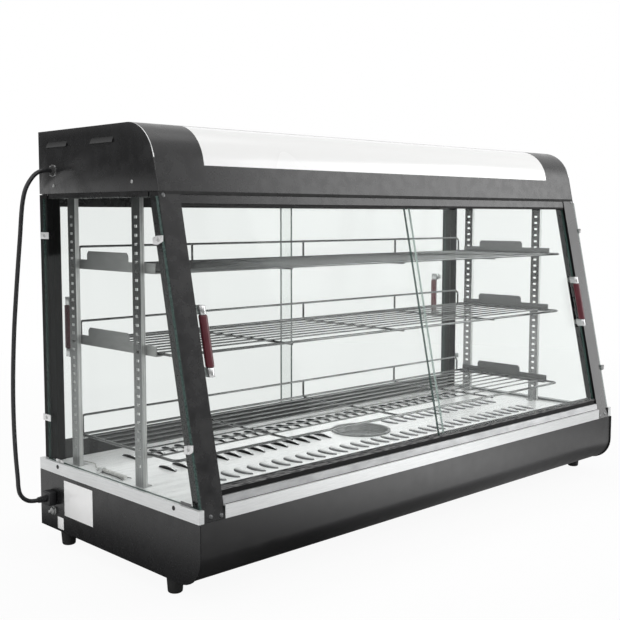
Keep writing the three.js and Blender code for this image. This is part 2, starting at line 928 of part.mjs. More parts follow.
function rearTopTrack() {
  const outline = trackOutline({
    start: rearTrackFront,
    webNear: rearOpeningTop + topTrackDepth,
    webFar: rearOpeningTop + topTrackDepth + trackWeb,
    wallEnd: rearOpeningTop,
    legEnds: [ceilingTop, ceilingTop],
  });
  return lengthwise(shapeOf(outline), -postInner, postInner);
}

function addRearBottomTrack() {
  const outline = trackOutline({
    start: rearTrackFront,
    webNear: rearGrooveFloor,
    webFar: rearGrooveFloor - trackWeb,
    wallEnd: rearTrackTop,
    legEnds: [floorTop + seat, trimTop + seat],
  });
  addPiece('rear_track_bottom', lengthwise(shapeOf(outline), -postInner, postInner), trackBlack);
}

function frontHeader() {
  const back = headerRecess + headerJoggle;
  const path = leanedPoints([
    [back + pillarDepth, ceilingTop],
    [back, ceilingTop],
    [back, headerJoggleZ],
    [headerRecess, headerJoggleZ],
    [headerRecess, headerBottom],
  ]);
  return lengthwise(bentSheet(path, ceilingSheet), -pillarInner, pillarInner);
}

function addTopFrame() {
  const half = halfWidth - railInset;
  const front = slopeY(ceilingTop) + headerRecess + headerJoggle;
  const back = rearTrackFront + trackDepth;
  const ceiling = block([-half, half], [front, back], [ceilingTop - ceilingSheet, ceilingTop]);
  const rails = Object.values(pairSides).map((side) =>
    block(sideSpan(side, half - railWidth, half), [railFront, railRear], [railBottom, ceilingTop]),
  );
  addPiece('top_frame', joined([ceiling, ...rails, frontHeader(), rearTopTrack()]), blackSheet);
}

// Glass
function addEndGlasses() {
  const bottom = trimTop + seat;
  const outline = [
    [slopeY(bottom) + endGlassOffset, bottom],
    [endGlassRear, bottom],
    [endGlassRear, endGlassTop],
    [slopeY(endGlassTop) + endGlassOffset, endGlassTop],
  ];
  forEachSide((label, side) => {
    const ends = sideSpan(side, halfWidth - endGlassInset, halfWidth - endGlassInset - glassThickness);
    addPiece(`end_glass_${label}`, lengthwise(shapeOf(outline), ...ends), clearGlass);
  });
}

// Doors: each row gives its place, the side it stands on and the line that its handle follows
function doorRows() {
  const frontOuter = frontTrackOffset + grooveCentre - glassThickness / 2;
  const frontInner = frontOuter + groovePitch;
  const rearInner = rearTrackFront + grooveCentre + glassThickness / 2;
  const rearOuter = rearInner + groovePitch;
  const front = {
    leans: true,
    outward: -1,
    bottom: frontGrooveFloor,
    top: openingTop,
    handleZ: frontHandleZ,
  };
  const rear = {
    leans: false,
    outward: 1,
    bottom: rearGrooveFloor,
    top: rearOpeningTop,
    handleZ: rearHandleZ,
  };
  const frontEnd = pillarInner - doorSideGap;
  const rearEnd = postInner - doorSideGap;
  const left = { side: -1 };
  const right = { side: 1 };
  return [
    { name: 'front_door_left', ...front, ...left, face: frontInner, span: [-frontEnd, frontLeftDoorEnd] },
    { name: 'front_door_right', ...front, ...right, face: frontOuter, span: [frontRightDoorStart, frontEnd] },
    { name: 'rear_door_left', ...rear, ...left, face: rearInner, span: [-rearEnd, rearLeftDoorEnd] },
    { name: 'rear_door_right', ...rear, ...right, face: rearOuter, span: [rearRightDoorStart, rearEnd] },
  ];
}

function doorGlass({ leans, outward, bottom, top, face, span }) {
  const depths = [face, face - outward * glassThickness];
  const outline = rectangle(depths, [bottom + doorLift, top + topTrackDepth - doorTopGap]);
  return lengthwise(shapeOf(leans ? leanedPoints(outline) : outline), ...span);
}

function handleX({ side, leans, span }) {
  const edge = Math.max(...span.map(Math.abs));
  return side * (edge - (leans ? handleInset : rearHandleInset));
}

// The post that holds one end of a handle off the glass, round at its front
function handlePost(door, bottom, top) {
  const { outward, face } = door;
  const x = handleX(door);
  const near = face + outward * seat;
  const start = outward < 0 ? 180 : 0;
  const middle = [x, face + outward * handleStandOff];
  const outline = [
    ...arc(middle, handleEndRadius, start, start + 180, handleEndSteps),
    [x - outward * handleEndRadius, near],
    [x + outward * handleEndRadius, near],
  ];
  return upward(shapeOf(outline), bottom, top);
}

function handleBar(door) {
  const { outward, face, handleZ } = door;
  const strap = block(
    around(handleX(door), handleStrapWidth / 2),
    around(face + outward * handleStandOff, handleStrap / 2),
    around(handleZ, gripHalf + handleEndRadius),
  );
  const inner = gripHalf + seat;
  return joined([
    strap,
    handlePost(door, handleZ - handleReach, handleZ - inner),
    handlePost(door, handleZ + inner, handleZ + handleReach),
  ]);
}

function handleGrip(door) {
  const { outward, face, handleZ } = door;
  const x = handleX(door);
  const y = face + outward * handleStandOff;
  const low = handleZ - gripHalf;
  const high = handleZ + gripHalf;
  const profile = [
    [0, 0],
    [gripRadius - gripRound, 0],
    [gripRadius, gripRound],
    [gripRadius, gripHalf * 2 - gripRound],
    [gripRadius - gripRound, gripHalf * 2],
    [0, gripHalf * 2],
  ];
  const slot = block(
    around(x, handleStrapWidth / 2 + seat),
    around(y, handleStrap / 2 + seat),
    [low - seat, high + seat],
  );
  return turned(profile, gripSides, 'z', [x, y, low]).subtract(slot);
}

function addDoors() {
  doorRows().forEach((door) => {
    addPiece(door.name, doorGlass(door), clearGlass);
    const addPart = door.leans ? addLeanedPiece : addPiece;
    addPart(`${door.name}_handle_bar`, handleBar(door), chromeWire);
    addPart(`${door.name}_handle_grip`, handleGrip(door), maroon);
  });
}

// Slotted standards
function slotHeights() {
  return Array.from({ length: slotCount }, (unused, index) => slotTopZ - index * slotPitch);
}

function standardWeb(side, y) {
  const outline = rectangle(around(y, standardWidth / 2), [standardBottom, standardTop]);
  const slots = slotHeights().map((z) => rectangle(around(y, slotWidth / 2), around(z, slotHeight / 2)));
  return lengthwise(shapeOf(outline, slots), ...sideSpan(side, standardFace, standardFace + sheet));
}

function standard(side, y) {
  const heights = [standardBottom, standardTop];
  const depths = sideSpan(side, standardFace, standardFace + standardDepth);
  const edges = around(y, standardWidth / 2);
  const foot = sideSpan(side, standardFace - standardFoot, standardFace + sheet / 2);
  return joined([
    standardWeb(side, y),
    block(depths, [edges[0], edges[0] + sheet], heights),
    block(depths, [edges[1] - sheet, edges[1]], heights),
    block(foot, around(y, standardFootWidth / 2), [standardBottom, standardBottom + sheet]),
  ]);
}

function shelfHook(side, y) {
  const top = shelfHeights.lower - frameWireRadius - seat;
  const reach = sideSpan(side, standardFace - hookReach, standardFace + sheet / 2);
  return block(reach, around(y, hookWidth / 2), [top - hookThickness, top]);
}

function addStandards() {
  const rows = { front: standardFrontY, rear: standardRearY };
  forEachSide((label, side) => {
    Object.entries(rows).forEach(([row, y]) => {
      const plain = standard(side, y);
      const solid = side < 0 ? plain.add(shelfHook(side, y)) : plain;
      addPiece(`standard_${row}_${label}`, solid, zincSteel);
    });
  });
}

// Shelf brackets
function bracketTongues(side, low, high) {
  const middle = (low + high) / 2;
  const distance = (z) => Math.abs(z - middle);
  const nearest = slotHeights().reduce((best, z) => (distance(z) < distance(best) ? z : best));
  const reach = sideSpan(side, bracketFace - sheet / 2, bracketFace + tongueReach);
  return [standardFrontY, standardRearY].map((y) =>
    block(reach, around(y, tongueWidth / 2), around(nearest, tongueHeight / 2)),
  );
}

function bracket(side, shelfZ) {
  const low = shelfZ - bracketBelow;
  const high = shelfZ + bracketAbove;
  const tab = shelfZ + bracketTabAbove;
  const outline = [
    [bracketFrontY, low],
    [bracketRearY, low],
    [bracketRearY, high],
    [bracketTabRear, high],
    [bracketTabRear, tab - bracketTabCut],
    [bracketTabRear - bracketTabCut, tab],
    [bracketTabFront + bracketTabCut, tab],
    [bracketTabFront, tab - bracketTabCut],
    [bracketTabFront, high],
    [bracketFrontY, high],
  ];
  const plate = lengthwise(shapeOf(outline), ...sideSpan(side, bracketFace - sheet, bracketFace));
  const ledge = block(
    sideSpan(side, bracketFace - sheet - bracketLedge, bracketFace),
    [bracketFrontY, bracketRearY],
    [low - sheet, low],
  );
  return joined([plate, ledge, ...bracketTongues(side, low, high)]);
}

function addBrackets() {
  forEachSide((label, side) => {
    Object.entries(shelfHeights).forEach(([row, z]) => {
      const onHooks = side < 0 && row === 'lower';
      if (!onHooks) {
        addPiece(`bracket_${row}_${label}`, bracket(side, z), zincSteel);
      }
    });
  });
}

// Wire shelves
function shelfFrame(z) {
  const half = halfWidth - shelfInset;
  const frontCorner = (side, from, to) =>
    arc([side * (half - shelfCorner), shelfFront + shelfCorner], shelfCorner, from, to, cornerSteps);
  const line = [
    [-half, shelfBack + frameWireRadius],
    ...frontCorner(-1, 180, 270),
    ...frontCorner(1, 270, 360),
    [half, shelfBack + frameWireRadius],
  ];
  const sides = wire(line.map(([x, y]) => [x, y, z]), frameWireRadius, frameWireSides);
  const back = wire([[-half, shelfBack, z], [half, shelfBack, z]], frameWireRadius, frameWireSides);
  return sides.add(back);
}

function longWires(z) {
  const half = halfWidth - shelfInset;
  return Array.from({ length: longWireCount }, (unused, index) => {
    const y = longWireFirst + index * longWirePitch;
    return wire([[-half, y, z], [half, y, z]], longWireRadius, longWireSides);
  });
}

function crossWires(z) {
  const low = z - longWireRadius - crossWireRadius + weldBite;
  const bend = arc([guardBack - crossBend, low + crossBend], crossBend, 270, 360, cornerSteps);
  const line = [[shelfFront, low], ...bend, [guardBack, z + guardRise]];
  return crossWireShares.map((share) => {
    const x = share * halfWidth;
    const stations = line.map(([y, height]) => [x, y, height]);
    return wire(stations, crossWireRadius, crossWireSides);
  });
}

function guardRail(z) {
  const left = guardLeftInset - halfWidth;
  const right = halfWidth - guardInset;
  const top = z + guardRise;
  const leftBend = [left + guardLeftCorner, top - guardLeftCorner];
  const line = [
    [left, z - crossWireRadius],
    ...arc(leftBend, guardLeftCorner, 180, 90, cornerSteps),
    ...arc([right - shelfCorner, top - shelfCorner], shelfCorner, 90, 0, cornerSteps),
    [right, z - crossWireRadius],
  ];
  return wire(line.map(([x, height]) => [x, guardBack, height]), crossWireRadius, crossWireSides);
}

function addShelves() {
  Object.entries(shelfHeights).forEach(([row, z]) => {
    const solid = joined([shelfFrame(z), ...crossWires(z), guardRail(z), ...longWires(z)]);
    addPiece(`shelf_${row}`, solid, chromeWire);
  });
}

// Hood
const hoodArcCentre = [hoodTopFront, hoodArcZ];
const slopeDegrees = THREE.MathUtils.radToDeg(Math.atan(slopeShare));

function hoodFront() {
  return [
    ...arc(hoodArcCentre, hoodArcRadius, 90, 180 - slopeDegrees, hoodArcSteps),
    [slopeY(hoodBottom), hoodBottom],
  ];
}

function ventHole(ends, y) {
  return lengthwise(shapeOf(rectangle(around(y, ventHalf), [ventBottom, ventTop])), ...ends);
}

function ventHood(side, y) {
  const plateX = halfFrame;
  const section = [
    [plateX - ventSkin, ventTop],
    [plateX + ventProud, ventBottom],
    [plateX + ventProud - ventSkin, ventBottom],
    [plateX - heavySheet, ventTop - ventSkin],
    [plateX - heavySheet, ventTop + ventSkin],
    [plateX - ventSkin, ventTop + ventSkin],
  ];
  const geometry = new THREE.ExtrudeGeometry(
    shapeOf(section.map(([x, z]) => [side * x, z])),
    { depth: ventHalf * 2, bevelEnabled: false },
  );
  geometry.rotateX(Math.PI / 2);
  geometry.translate(0, y + ventHalf, 0);
  return solidOf(geometry);
}

function addHoodEnds() {
  const outline = [...hoodFront(), [rearFace, hoodBottom], [rearFace, overallHeight]];
  const spare = hoodFlange + hoodFlangeGap;
  const flangeDepths = [slopeY(hoodBottom) + spare, rearFace - spare];
  forEachSide((label, side) => {
    const ends = sideSpan(side, halfFrame - heavySheet, halfFrame);
    const flange = block(
      sideSpan(side, halfFrame - heavySheet - hoodFlange, halfFrame - heavySheet / 2),
      flangeDepths,
      [hoodBottom, hoodBottom + sheet],
    );
    const holes = ventInsets.map((inset) => ventHole(ends, overallDepth - inset));
    if (side < 0) {
      const cordBase = [Math.min(...ends), cordExitY, cordExitZ];
      holes.push(rod(grommetBarrelRadius + seat, grommetSides, 'x', cordBase, heavySheet));
    }
    const plate = lengthwise(shapeOf(outline), ...ends).subtract(joined(holes));
    const hoods = ventInsets.map((inset) => ventHood(side, overallDepth - inset));
    addPiece(`hood_end_${label}`, joined([plate, flange, ...hoods]), blackSheet);
  });
}

function windowRegion(clearance, half) {
  const region = rectangle(
    [slopeY(baseTop), windowRearY - clearance],
    [windowBottom + clearance, overallHeight + hoodFlange],
  );
  return lengthwise(shapeOf(region), -half + clearance, half - clearance);
}

function addFascia() {
  const path = [...hoodFront(), [slopeY(hoodBottom) + hoodFlange, hoodBottom]];
  const half = halfFrame - heavySheet - seat;
  const fascia = lengthwise(bentSheet(path, sheet), -half, half);
  addPiece('hood_fascia', fascia.subtract(windowRegion(0, halfWidth - windowInset)), blackSheet);
}

function addHoodCover() {
  const path = [
    [rearFace - hoodFlange, hoodBottom],
    [rearFace, hoodBottom],
    [rearFace, overallHeight],
    [hoodTopFront + seat, overallHeight],
  ];
  const half = halfFrame - heavySheet - seat;
  addPiece('hood_cover', lengthwise(bentSheet(path, sheet), -half, half), blackSheet);
}

function addLightWindow() {
  const half = halfWidth - windowInset;
  const path = hoodFront();
  const wide = half + windowFlange;
  const behind = sheet + seat;
  const depth = behind + windowSheet - windowRecess;
  const flange = lengthwise(bentSheet(path, windowSheet, behind), -wide, wide);
  const pane = lengthwise(bentSheet(path, depth, windowRecess), -half, half);
  const inside = pane.intersect(windowRegion(seat, half));
  const solid = flange.intersect(windowRegion(-windowLap, wide)).add(inside);
  addPiece('light_window', solid, whiteAcrylic);
}

function addLamp() {
  const half = lampLength / 2;
  const bottom = ceilingTop + seat;
  const end = half + seat + holderThickness;
  const holders = Object.values(pairSides).map((side) =>
    block(sideSpan(side, half + seat, end), around(lampY, holderHalf), [bottom, lampZ + holderAbove]),
  );
  const batten = block([-end, end], around(lampY, battenWidth / 2), [bottom, bottom + battenHeight]);
  addPiece('lamp_fitting', joined([batten, ...holders]), whitePaint);
  addPiece('lamp_tube', rod(lampRadius, lampSides, 'x', [-half, lampY, lampZ], lampLength), whiteAcrylic);
}

// Controls on the back of the base
function addKnob() {
  const skirt = [
    [0, -shaftReach],
    [shaftRadius, -shaftReach],
    [shaftRadius, 0],
    [knobSkirt, 0],
    [knobSkirt, knobSkirtHeight],
    [knobRadius, knobSkirtHeight + knobRound],
    [knobRadius - knobRound, knobHeight - pointerRise],
    [0, knobHeight - pointerRise],
  ];
  const y = shellRear + seat;
  const knob = turned(skirt, knobSides, 'y', [knobX, y, controlZ]);
  const pointer = block(
    around(knobX, pointerWidth / 2),
    [y + knobHeight - pointerRise * 2, y + knobHeight],
    [controlZ, controlZ + pointerLength],
  );
  addPiece('thermostat_knob', knob.add(pointer), blackPlastic);
}

function addSwitchesAndGland() {
  Object.entries(switchXs).forEach(([name, x]) => {
    addPiece(name, rockerSolid(x, -rockerTilt), maroon);
  });
  const profile = [
    [glandBore, -glandTail],
    [glandRadius, -glandTail],
    [glandRadius, 0],
    [glandFlangeRadius, 0],
    [glandFlangeRadius, glandFlange],
    [glandNoseRadius, glandFlange],
    [glandNoseRadius, glandLength],
    [glandBore, glandLength],
    [glandBore, -glandTail],
  ];
  const base = [glandX, shellRear + seat, controlZ];
  addPiece('mains_gland', turned(profile, glandSides, 'y', base), blackPlastic);
}

// Link cord from the hood to the base, chosen point by point from the rear edge of the left end
const cordRoute = [
  [5.65, -51, 671],
  [-4, -51, 671],
  [-16.2, -50.9, 668.6],
  [-26.6, -50.7, 661.6],
  [-41, -50.3, 641.4],
  [-48, -49.8, 617.7],
  [-55, -49, 551],
  [-63.3, -47.8, 464],
  [-69.2, -46.7, 390],
  [-73, -45.8, 307],
  [-73.6, -45.3, 245],
  [-71.8, -45, 180],
  [-68.6, -45, 130],
  [-68, -45, 116.5],
  [-65.6, -45, 104.6],
  [-58.9, -45, 94.6],
  [-48.9, -45, 87.9],
  [-37, -45, 85.5],
  [-32, -45, 85.5],
];

function addCord() {
  const places = cordRoute.map(([x, y, z]) => new THREE.Vector3(x - halfWidth, y + overallDepth, z));
  const extrudePath = new THREE.CatmullRomCurve3(places);
  const section = roundSection(cordRadius, cordSides);
  const tube = new THREE.ExtrudeGeometry(section, { steps: cordSteps, extrudePath });
  addPiece('link_cord', solidOf(tube), blackPlastic);
}

function addGrommet() {
  const end = -grommetFlange - grommetNose;
  const profile = [
    [0, end],
    [grommetNoseRadius, end],
    [grommetNoseRadius, -grommetFlange],
    [grommetRadius, -grommetFlange],
    [grommetRadius, 0],
    [grommetBarrelRadius, 0],
    [grommetBarrelRadius, grommetBarrel],
    [0, grommetBarrel],
  ];
  const base = [-halfFrame - seat, cordExitY, cordExitZ];
  addPiece('cord_grommet', turned(profile, grommetSides, 'x', base), rubber);
}

function addPlug() {
  const inner = -halfWidth - seat;
  const outer = inner - plugLength;
  const body = block([outer, inner], around(plugY, plugHalf), around(plugZ, plugHalf));
  const nose = block(
    [inner - seat, inner + plugNoseReach],
    around(plugY, plugNoseHalf),
    around(plugZ, plugNoseHalf),
  );
  const ribStep = reliefLength / (reliefRibs * 2);
  const ribs = Array.from({ length: reliefRibs }, (unused, index) => {
    const start = -index * ribStep * 2;
    return [
      [reliefRadius, start],
      [reliefRadius, start - ribStep],
      [reliefWaist, start - ribStep],
      [reliefWaist, start - ribStep * 2],
    ];
  }).flat();
  const profile = [[0, seat], [reliefRadius, seat], ...ribs.slice(1), [0, -reliefLength]];
  const relief = turned(profile, reliefSides, 'x', [outer, plugY, plugZ]);
  addPiece('link_plug', joined([body, nose, relief]), blackPlastic);
}

addBaseShell();
addBaseEnds();
addFeet();
addBaseTrim();
addFloorPlate();
addWaterDish();
addHeatingElement();
addThermostatBulb();
addPillarsAndPosts();
addRearBottomTrack();
addTopFrame();
addFrontTracks();
addEndGlasses();
addDoors();
addStandards();
addBrackets();
addShelves();
addHoodEnds();
addFascia();
addHoodCover();
addLightWindow();
addLamp();
addCord();
addGrommet();
addPlug();
addKnob();
addSwitchesAndGland();

export default warmer;
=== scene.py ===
import json
import math

import bmesh
import bpy
from mathutils import Matrix, Vector


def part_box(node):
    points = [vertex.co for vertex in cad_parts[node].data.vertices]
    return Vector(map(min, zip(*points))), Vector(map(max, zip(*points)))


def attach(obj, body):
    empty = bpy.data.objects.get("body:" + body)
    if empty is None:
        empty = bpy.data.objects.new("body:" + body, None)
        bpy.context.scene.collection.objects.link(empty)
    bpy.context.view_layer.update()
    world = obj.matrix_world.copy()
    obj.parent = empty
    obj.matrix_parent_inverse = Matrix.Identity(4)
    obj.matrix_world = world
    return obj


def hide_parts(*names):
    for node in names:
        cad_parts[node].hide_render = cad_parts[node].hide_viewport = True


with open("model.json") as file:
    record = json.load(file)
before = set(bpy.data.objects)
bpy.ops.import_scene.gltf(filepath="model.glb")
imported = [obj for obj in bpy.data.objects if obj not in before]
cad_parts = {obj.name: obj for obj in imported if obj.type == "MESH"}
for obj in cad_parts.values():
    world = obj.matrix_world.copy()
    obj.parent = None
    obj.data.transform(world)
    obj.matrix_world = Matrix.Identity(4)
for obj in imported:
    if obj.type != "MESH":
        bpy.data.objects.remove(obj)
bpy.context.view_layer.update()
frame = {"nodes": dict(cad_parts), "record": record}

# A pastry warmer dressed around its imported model. Lengths below are in millimetres, with X along the
# front, Y from the front plane to the back and Z up, and turn into the frame's metres in to_row().
MILLIMETRE = 0.001
nodes = frame["nodes"]

# Driving dimensions, as in the part's source
OVERALL_WIDTH = 1200.0
OVERALL_DEPTH = 475.0
OVERALL_HEIGHT = 740.8
HALF_WIDTH = OVERALL_WIDTH / 2
BODY_BOTTOM = 27.0
BASE_TOP = 130.3
HOOD_BOTTOM = 631.1
SLOPE = 0.2163
SLOPE_DEGREES = math.degrees(math.atan(SLOPE))
HALF_FRAME = HALF_WIDTH - 10.45
REAR_FACE = OVERALL_DEPTH - 2.3
SHEET = 1.5
HEAVY_SHEET = 2.0
TRIM_SHEET = 1.2
SEAT = 0.3
MIDDLE_Y = 243.65
SIDES = (("left", -1), ("right", 1))

# Base shell and feet
BASE_PROUD = 2.5
BASE_CORNER = 47.5
BASE_FLANGE = 12.0
SHELL_HALF = HALF_WIDTH - 2.3
SHELL_REAR = OVERALL_DEPTH - BASE_PROUD
SHELL_BOTTOM = BODY_BOTTOM + BASE_PROUD
SHELL_TOP = BASE_TOP - SEAT
FOOT_X = HALF_WIDTH - 17
FOOT_ROWS = (("front", 85.0), ("rear", OVERALL_DEPTH - 67))
FOOT_PROFILE = [(0, 0), (10, 0), (12, 2), (14, SHELL_BOTTOM - SEAT), (0, SHELL_BOTTOM - SEAT)]
FOOT_ROUND = 1.6

# Controls on the back of the base
CONTROL_Z = 82.0
CONTROL_Y = SHELL_REAR + SEAT
KNOB_X = 130 - HALF_WIDTH
SWITCH_XS = (200 - HALF_WIDTH, 240 - HALF_WIDTH)
GLAND_X = 300 - HALF_WIDTH
SHAFT_HOLE = 4.3
GLAND_HOLE = 10.3
ROCKER_HALVES = (6.8, 10.7)
KNOB_PROFILE = [(0, -14), (4, -14), (4, 0), (22, 0), (22, 4), (19, 6), (17, 16.2), (0, 16.2)]
KNOB_ROUND = 1.2
POINTER_BOX = (1.1, (15.4, 16.9), (2, 15))
POINTER_ROUND = 0.3
GLAND_PROFILE = [(4.5, -8), (10, -8), (10, 0), (14, 0), (14, 4), (9, 4), (9, 16), (4.5, 16)]
GLAND_ROUND = 0.5

# Floor plate and its louvres
FLOOR_TOP = 146.0
FLOOR_SHEET = 1.2
FLOOR_INSET = 12.3
FLOOR_RIM = 14.2
FLOOR_HALF = HALF_WIDTH - FLOOR_INSET
FLOOR_FRONT_HALF = 548.2
FLOOR_BACK_HALF = 563.2
FLOOR_NOTCHES = (30.0, OVERALL_DEPTH - 28.1)
LOUVRE_PITCH = 29.6
LOUVRES_PER_SIDE = 16
LOUVRE_HALF = 25.0
LOUVRE_WIDTH = 12.0
LOUVRE_RISE = 6.0
LOUVRE_SKIN = 0.9
LOUVRE_BAND = 26.0
LOUVRE_CENTRE = 4.0
LOUVRE_STEPS = 5
LOUVRE_FREE = 92.0
FRONT_ROW = 150.5
REAR_ROW = OVERALL_DEPTH - 102.5
MIDDLE_ROW = (FRONT_ROW + REAR_ROW) / 2 - 5

# Water dish
DISH_PLACE = (9.0, 240.0)
DISH_CELL = (-74.0, 103.6)
DISH_RADIUS = 62.0
DISH_HOLE = 59.0
DISH_WALL = 58.0
DISH_FLOOR = 52.0
DISH_RISE = 4.2
DISH_DEPTH = 16.0
DISH_ROUND = 1.4

# Hood
HOOD_ARC = 73.3
HOOD_ARC_Z = OVERALL_HEIGHT - HOOD_ARC
HOOD_TOP_FRONT = (HOOD_ARC_Z - BASE_TOP) * SLOPE + HOOD_ARC * math.hypot(1, SLOPE)
HOOD_INNER = HALF_FRAME - HEAVY_SHEET
HOOD_FLANGE = 12.0
HOOD_FLANGE_GAP = 5.0
HOOD_STEPS = 28
HOOD_REAR_STEPS = 3
WINDOW_HALF = HALF_WIDTH - 107.5
WINDOW_REAR = HOOD_TOP_FRONT - 7.2
WINDOW_BOTTOM = OVERALL_HEIGHT - 67.8
WINDOW_RECESS = 0.3
WINDOW_LAP = 8.0
VENT_INSETS = (67.0, 211.0)
VENT_HALF = 34.0
VENT_TOP = OVERALL_HEIGHT - 19.3
VENT_BOTTOM = VENT_TOP - 10
VENT_PROUD = 3.0
VENT_SKIN = 1.0
EDGE_ROUND = 0.4
EDGE_FACING = 0.8
CORD_EXIT = (OVERALL_DEPTH - 51, HOOD_BOTTOM + 39.9)
GROMMET_HOLE = 6.5
GROMMET_PROFILE = [(0, -4.2), (6.5, -4.2), (6.5, -2), (9, -2), (9, 0), (6.2, 0), (6.2, 4), (0, 4)]
GROMMET_ROUND = 0.7
WASHER_PROFILE = [(9.3, 0), (10.6, 0), (10.6, -1), (9.3, -1)]
WASHER_TOOTH = [(0, 0), (1.6, 0), (1.2, -1.4), (0, -1.6)]
WASHER_TEETH = (10.8, (45, 135, 225, 315))

# Wire shelves
SHELF_HEIGHTS = (("top", 503.9), ("middle", 370.4), ("lower", 199.2))
SHELF_HALF = HALF_WIDTH - 43.7
SHELF_FRONT = 117.2
SHELF_BACK = OVERALL_DEPTH - 74
SHELF_CORNER = 12.0
FRAME_WIRE = 2.5
LONG_WIRE = 1.6
CROSS_WIRE = 2.2
LONG_WIRES = 8
LONG_WIRE_FIRST = 167.0
LONG_WIRE_PITCH = 29.75
CROSS_XS = (-300.0, 0.0, 300.0)
CROSS_BEND = 8.0
GUARD_BACK = OVERALL_DEPTH - 69.7
GUARD_RISE = 33.5
GUARD_ENDS = (48.9 - HALF_WIDTH, HALF_WIDTH - 57.0)
GUARD_LEFT_CORNER = 4.0
WELD_BITE = 0.5

# Door handles
GRIP_RADIUS = 7.2
GRIP_HALF = 40.5
GRIP_CHAMFER = 1.5
GRIP_ROUND = 1.2
HANDLE_STAND_OFF = 12.2
HANDLE_ROUND = 5.8
HANDLE_END = 15.0
HANDLE_EDGE = 0.6
HANDLE_STRAP = (4.5, 1.5)
DOOR_GLASS = 5.0
BOLT_PROFILE = [(0, 0), (5.4, 0), (5.4, 1), (4.1, 1), (4.1, 2.4), (2.9, 3.6), (0, 4.2)]
BOLT_ROUND = 0.5
DOORS = (("front_door_left", -1), ("front_door_right", -1), ("rear_door_left", 1), ("rear_door_right", 1))

# Thermostat bulb and link plug
BULB_X = 35 - HALF_WIDTH
BULB_RADIUS = 3.5
BULB_FRONT = 248.0
BULB_REAR = 331.0
BULB_BASE = FLOOR_TOP + SEAT
BULB_CLIP = (305.0, 334.0)
SADDLE_LINE = [(-15, 0.1), (-5.8, 0.1), (-4.2, 3.5), (-2.28, 7.6)]
SADDLE_ROUND = 2.2
SADDLE_HALF = 5.0
SADDLE_SHEET = 0.8
SPRING_WIRE = 0.8
SPRING_Z = BULB_BASE + 1.4
SPRING_LINE = [(334, 3.2), (305, 4.5), (270, 4.5), (258, 6.5), (244, 9)]
CAPILLARY_RADIUS = 1.2
CAPILLARY_BENDS = [(0, -3), (0, 8), (13.5, 35.5), (13.5, 51.5)]
CAPILLARY_DIVE = 8.0
CAPILLARY_X = 40 - HALF_WIDTH
CAPILLARY_Y = OVERALL_DEPTH - 57
PLUG_PLACE = (OVERALL_DEPTH - 45, 85.5)
PLUG_HALF = 12.5
PLUG_NOSE = 9.0
PLUG_NOSE_SPAN = (-1.0, 6.0)
PLUG_LENGTH = 15.0
PLUG_ROUND = 2.2
RELIEF_RADIUS = 6.5
RELIEF_LENGTH = 16.4
RELIEF_RIBS = 4
RELIEF_TAPER = 0.35
RELIEF_GROOVE = 0.9
RELIEF_SHARES = (0.55, 0.6)

# Small fittings: outlines and places as Y and Z on the end faces, but as X and Z for the pillars' screws
CLIP_FACE = HALF_WIDTH - 4.9 + SEAT
CLIP_SHEET = 1.2
CLIP_ROUND = 1.5
FRONT_CLIPS = (
    [(88, 563), (88, 553.5), (101, 548.3), (114, 548.5), (115, 559), (104, 562)],
    [(18, 248.5), (18, 238), (27, 233), (40, 231.5), (40, 244), (29, 247)],
)
FRONT_CLIP_SCREWS = [(99.5, 555.6), (29.0, 240.2)]
REAR_STRAP = ((433, 461), (551, 563))
REAR_CLIPS = (((441, 466), (221.5, 233.5)), ((398, 424), (152, 157)))
CORNER_BLOCK = ((24, 50), (151.4, 157))
TRIM_SCREWS = ((412.5, 144.0), (63.5, 143.5))
HOOD_SCREWS = ((423.0, 645.0), (179.0, 646.5))
PILLAR_SCREWS = ((576.3, 138.0), (556.0, 136.5), (581.0, 624.5))
TRIM_HEAD = 3.8
HOOD_HEAD = 3.0
PILLAR_HEAD = 3.6
CLIP_HEAD = 3.2

# Screw heads: shares of the radius with their heights, and a slot of half length, half width and depths
HEAD_PROFILE = [(0, -0.4), (1, -0.4), (1, 0.56), (0.72, 1.19), (0, 1.4)]
HEAD_ROUND = 0.6
HEAD_SLOT = (1.2, 0.16)
HEAD_SLOT_DEPTHS = (0.49, 2.8)

# Earth stud and bare plates, as Y and Z on the left end
EARTH_STUD = (427.5, 61.0)
STUD_TEETH = 24
STUD_TEETH_RADII = (6.8, 8.2)
STUD_WASHER = 0.9
NUT_HALF = 6.5
NUT_TURN = 20
NUT_TOP = 5.4
NUT_ROUND = 0.35
STUD_RADII = (2.6, 2.2)
STUD_TURNS = 6
STUD_GROOVE = 0.5
STUD_END = 12.0
RATING_PLATE = ((297.5, 391.0), (59.5, 123.5))
STICKER = ((395.5, 415.5), (31.5, 53.0))
PLATE_SHEET = 0.5
PLATE_GAP = 0.1
PLATE_ROUND = 0.15

# Dark strips along the front, each with its heights and its half length: painted shadow in the gap below the
# hood, and a joint line below the sill
SEAM_DEPTHS = (-0.2, 2.0)
SEAMS = (("hood_shadow_gap", (626.2, 631.1), 588.0), ("sill_seam", (151.1, 151.9), 548.0))

# Left standards
STANDARD_ROWS = (("front", 192.6), ("rear", 391.4))
STANDARD_OUTER = 25.4 - HALF_WIDTH
STANDARD_INNER = STANDARD_OUTER + 8.2
STANDARD_HALF = 11.5
STANDARD_HEIGHTS = (146.3, 621.7)
STANDARD_FOOT = (STANDARD_INNER + 11.0, 8.0)
SLOT_TOP = HOOD_BOTTOM - 40.66
SLOT_PITCH = 14.62
SLOT_COUNT = 29
SLOT_HALVES = (4.0, 2.3)
SHELF_HOOK = (STANDARD_INNER + 15.0, 4.0, (193.4, 196.4))

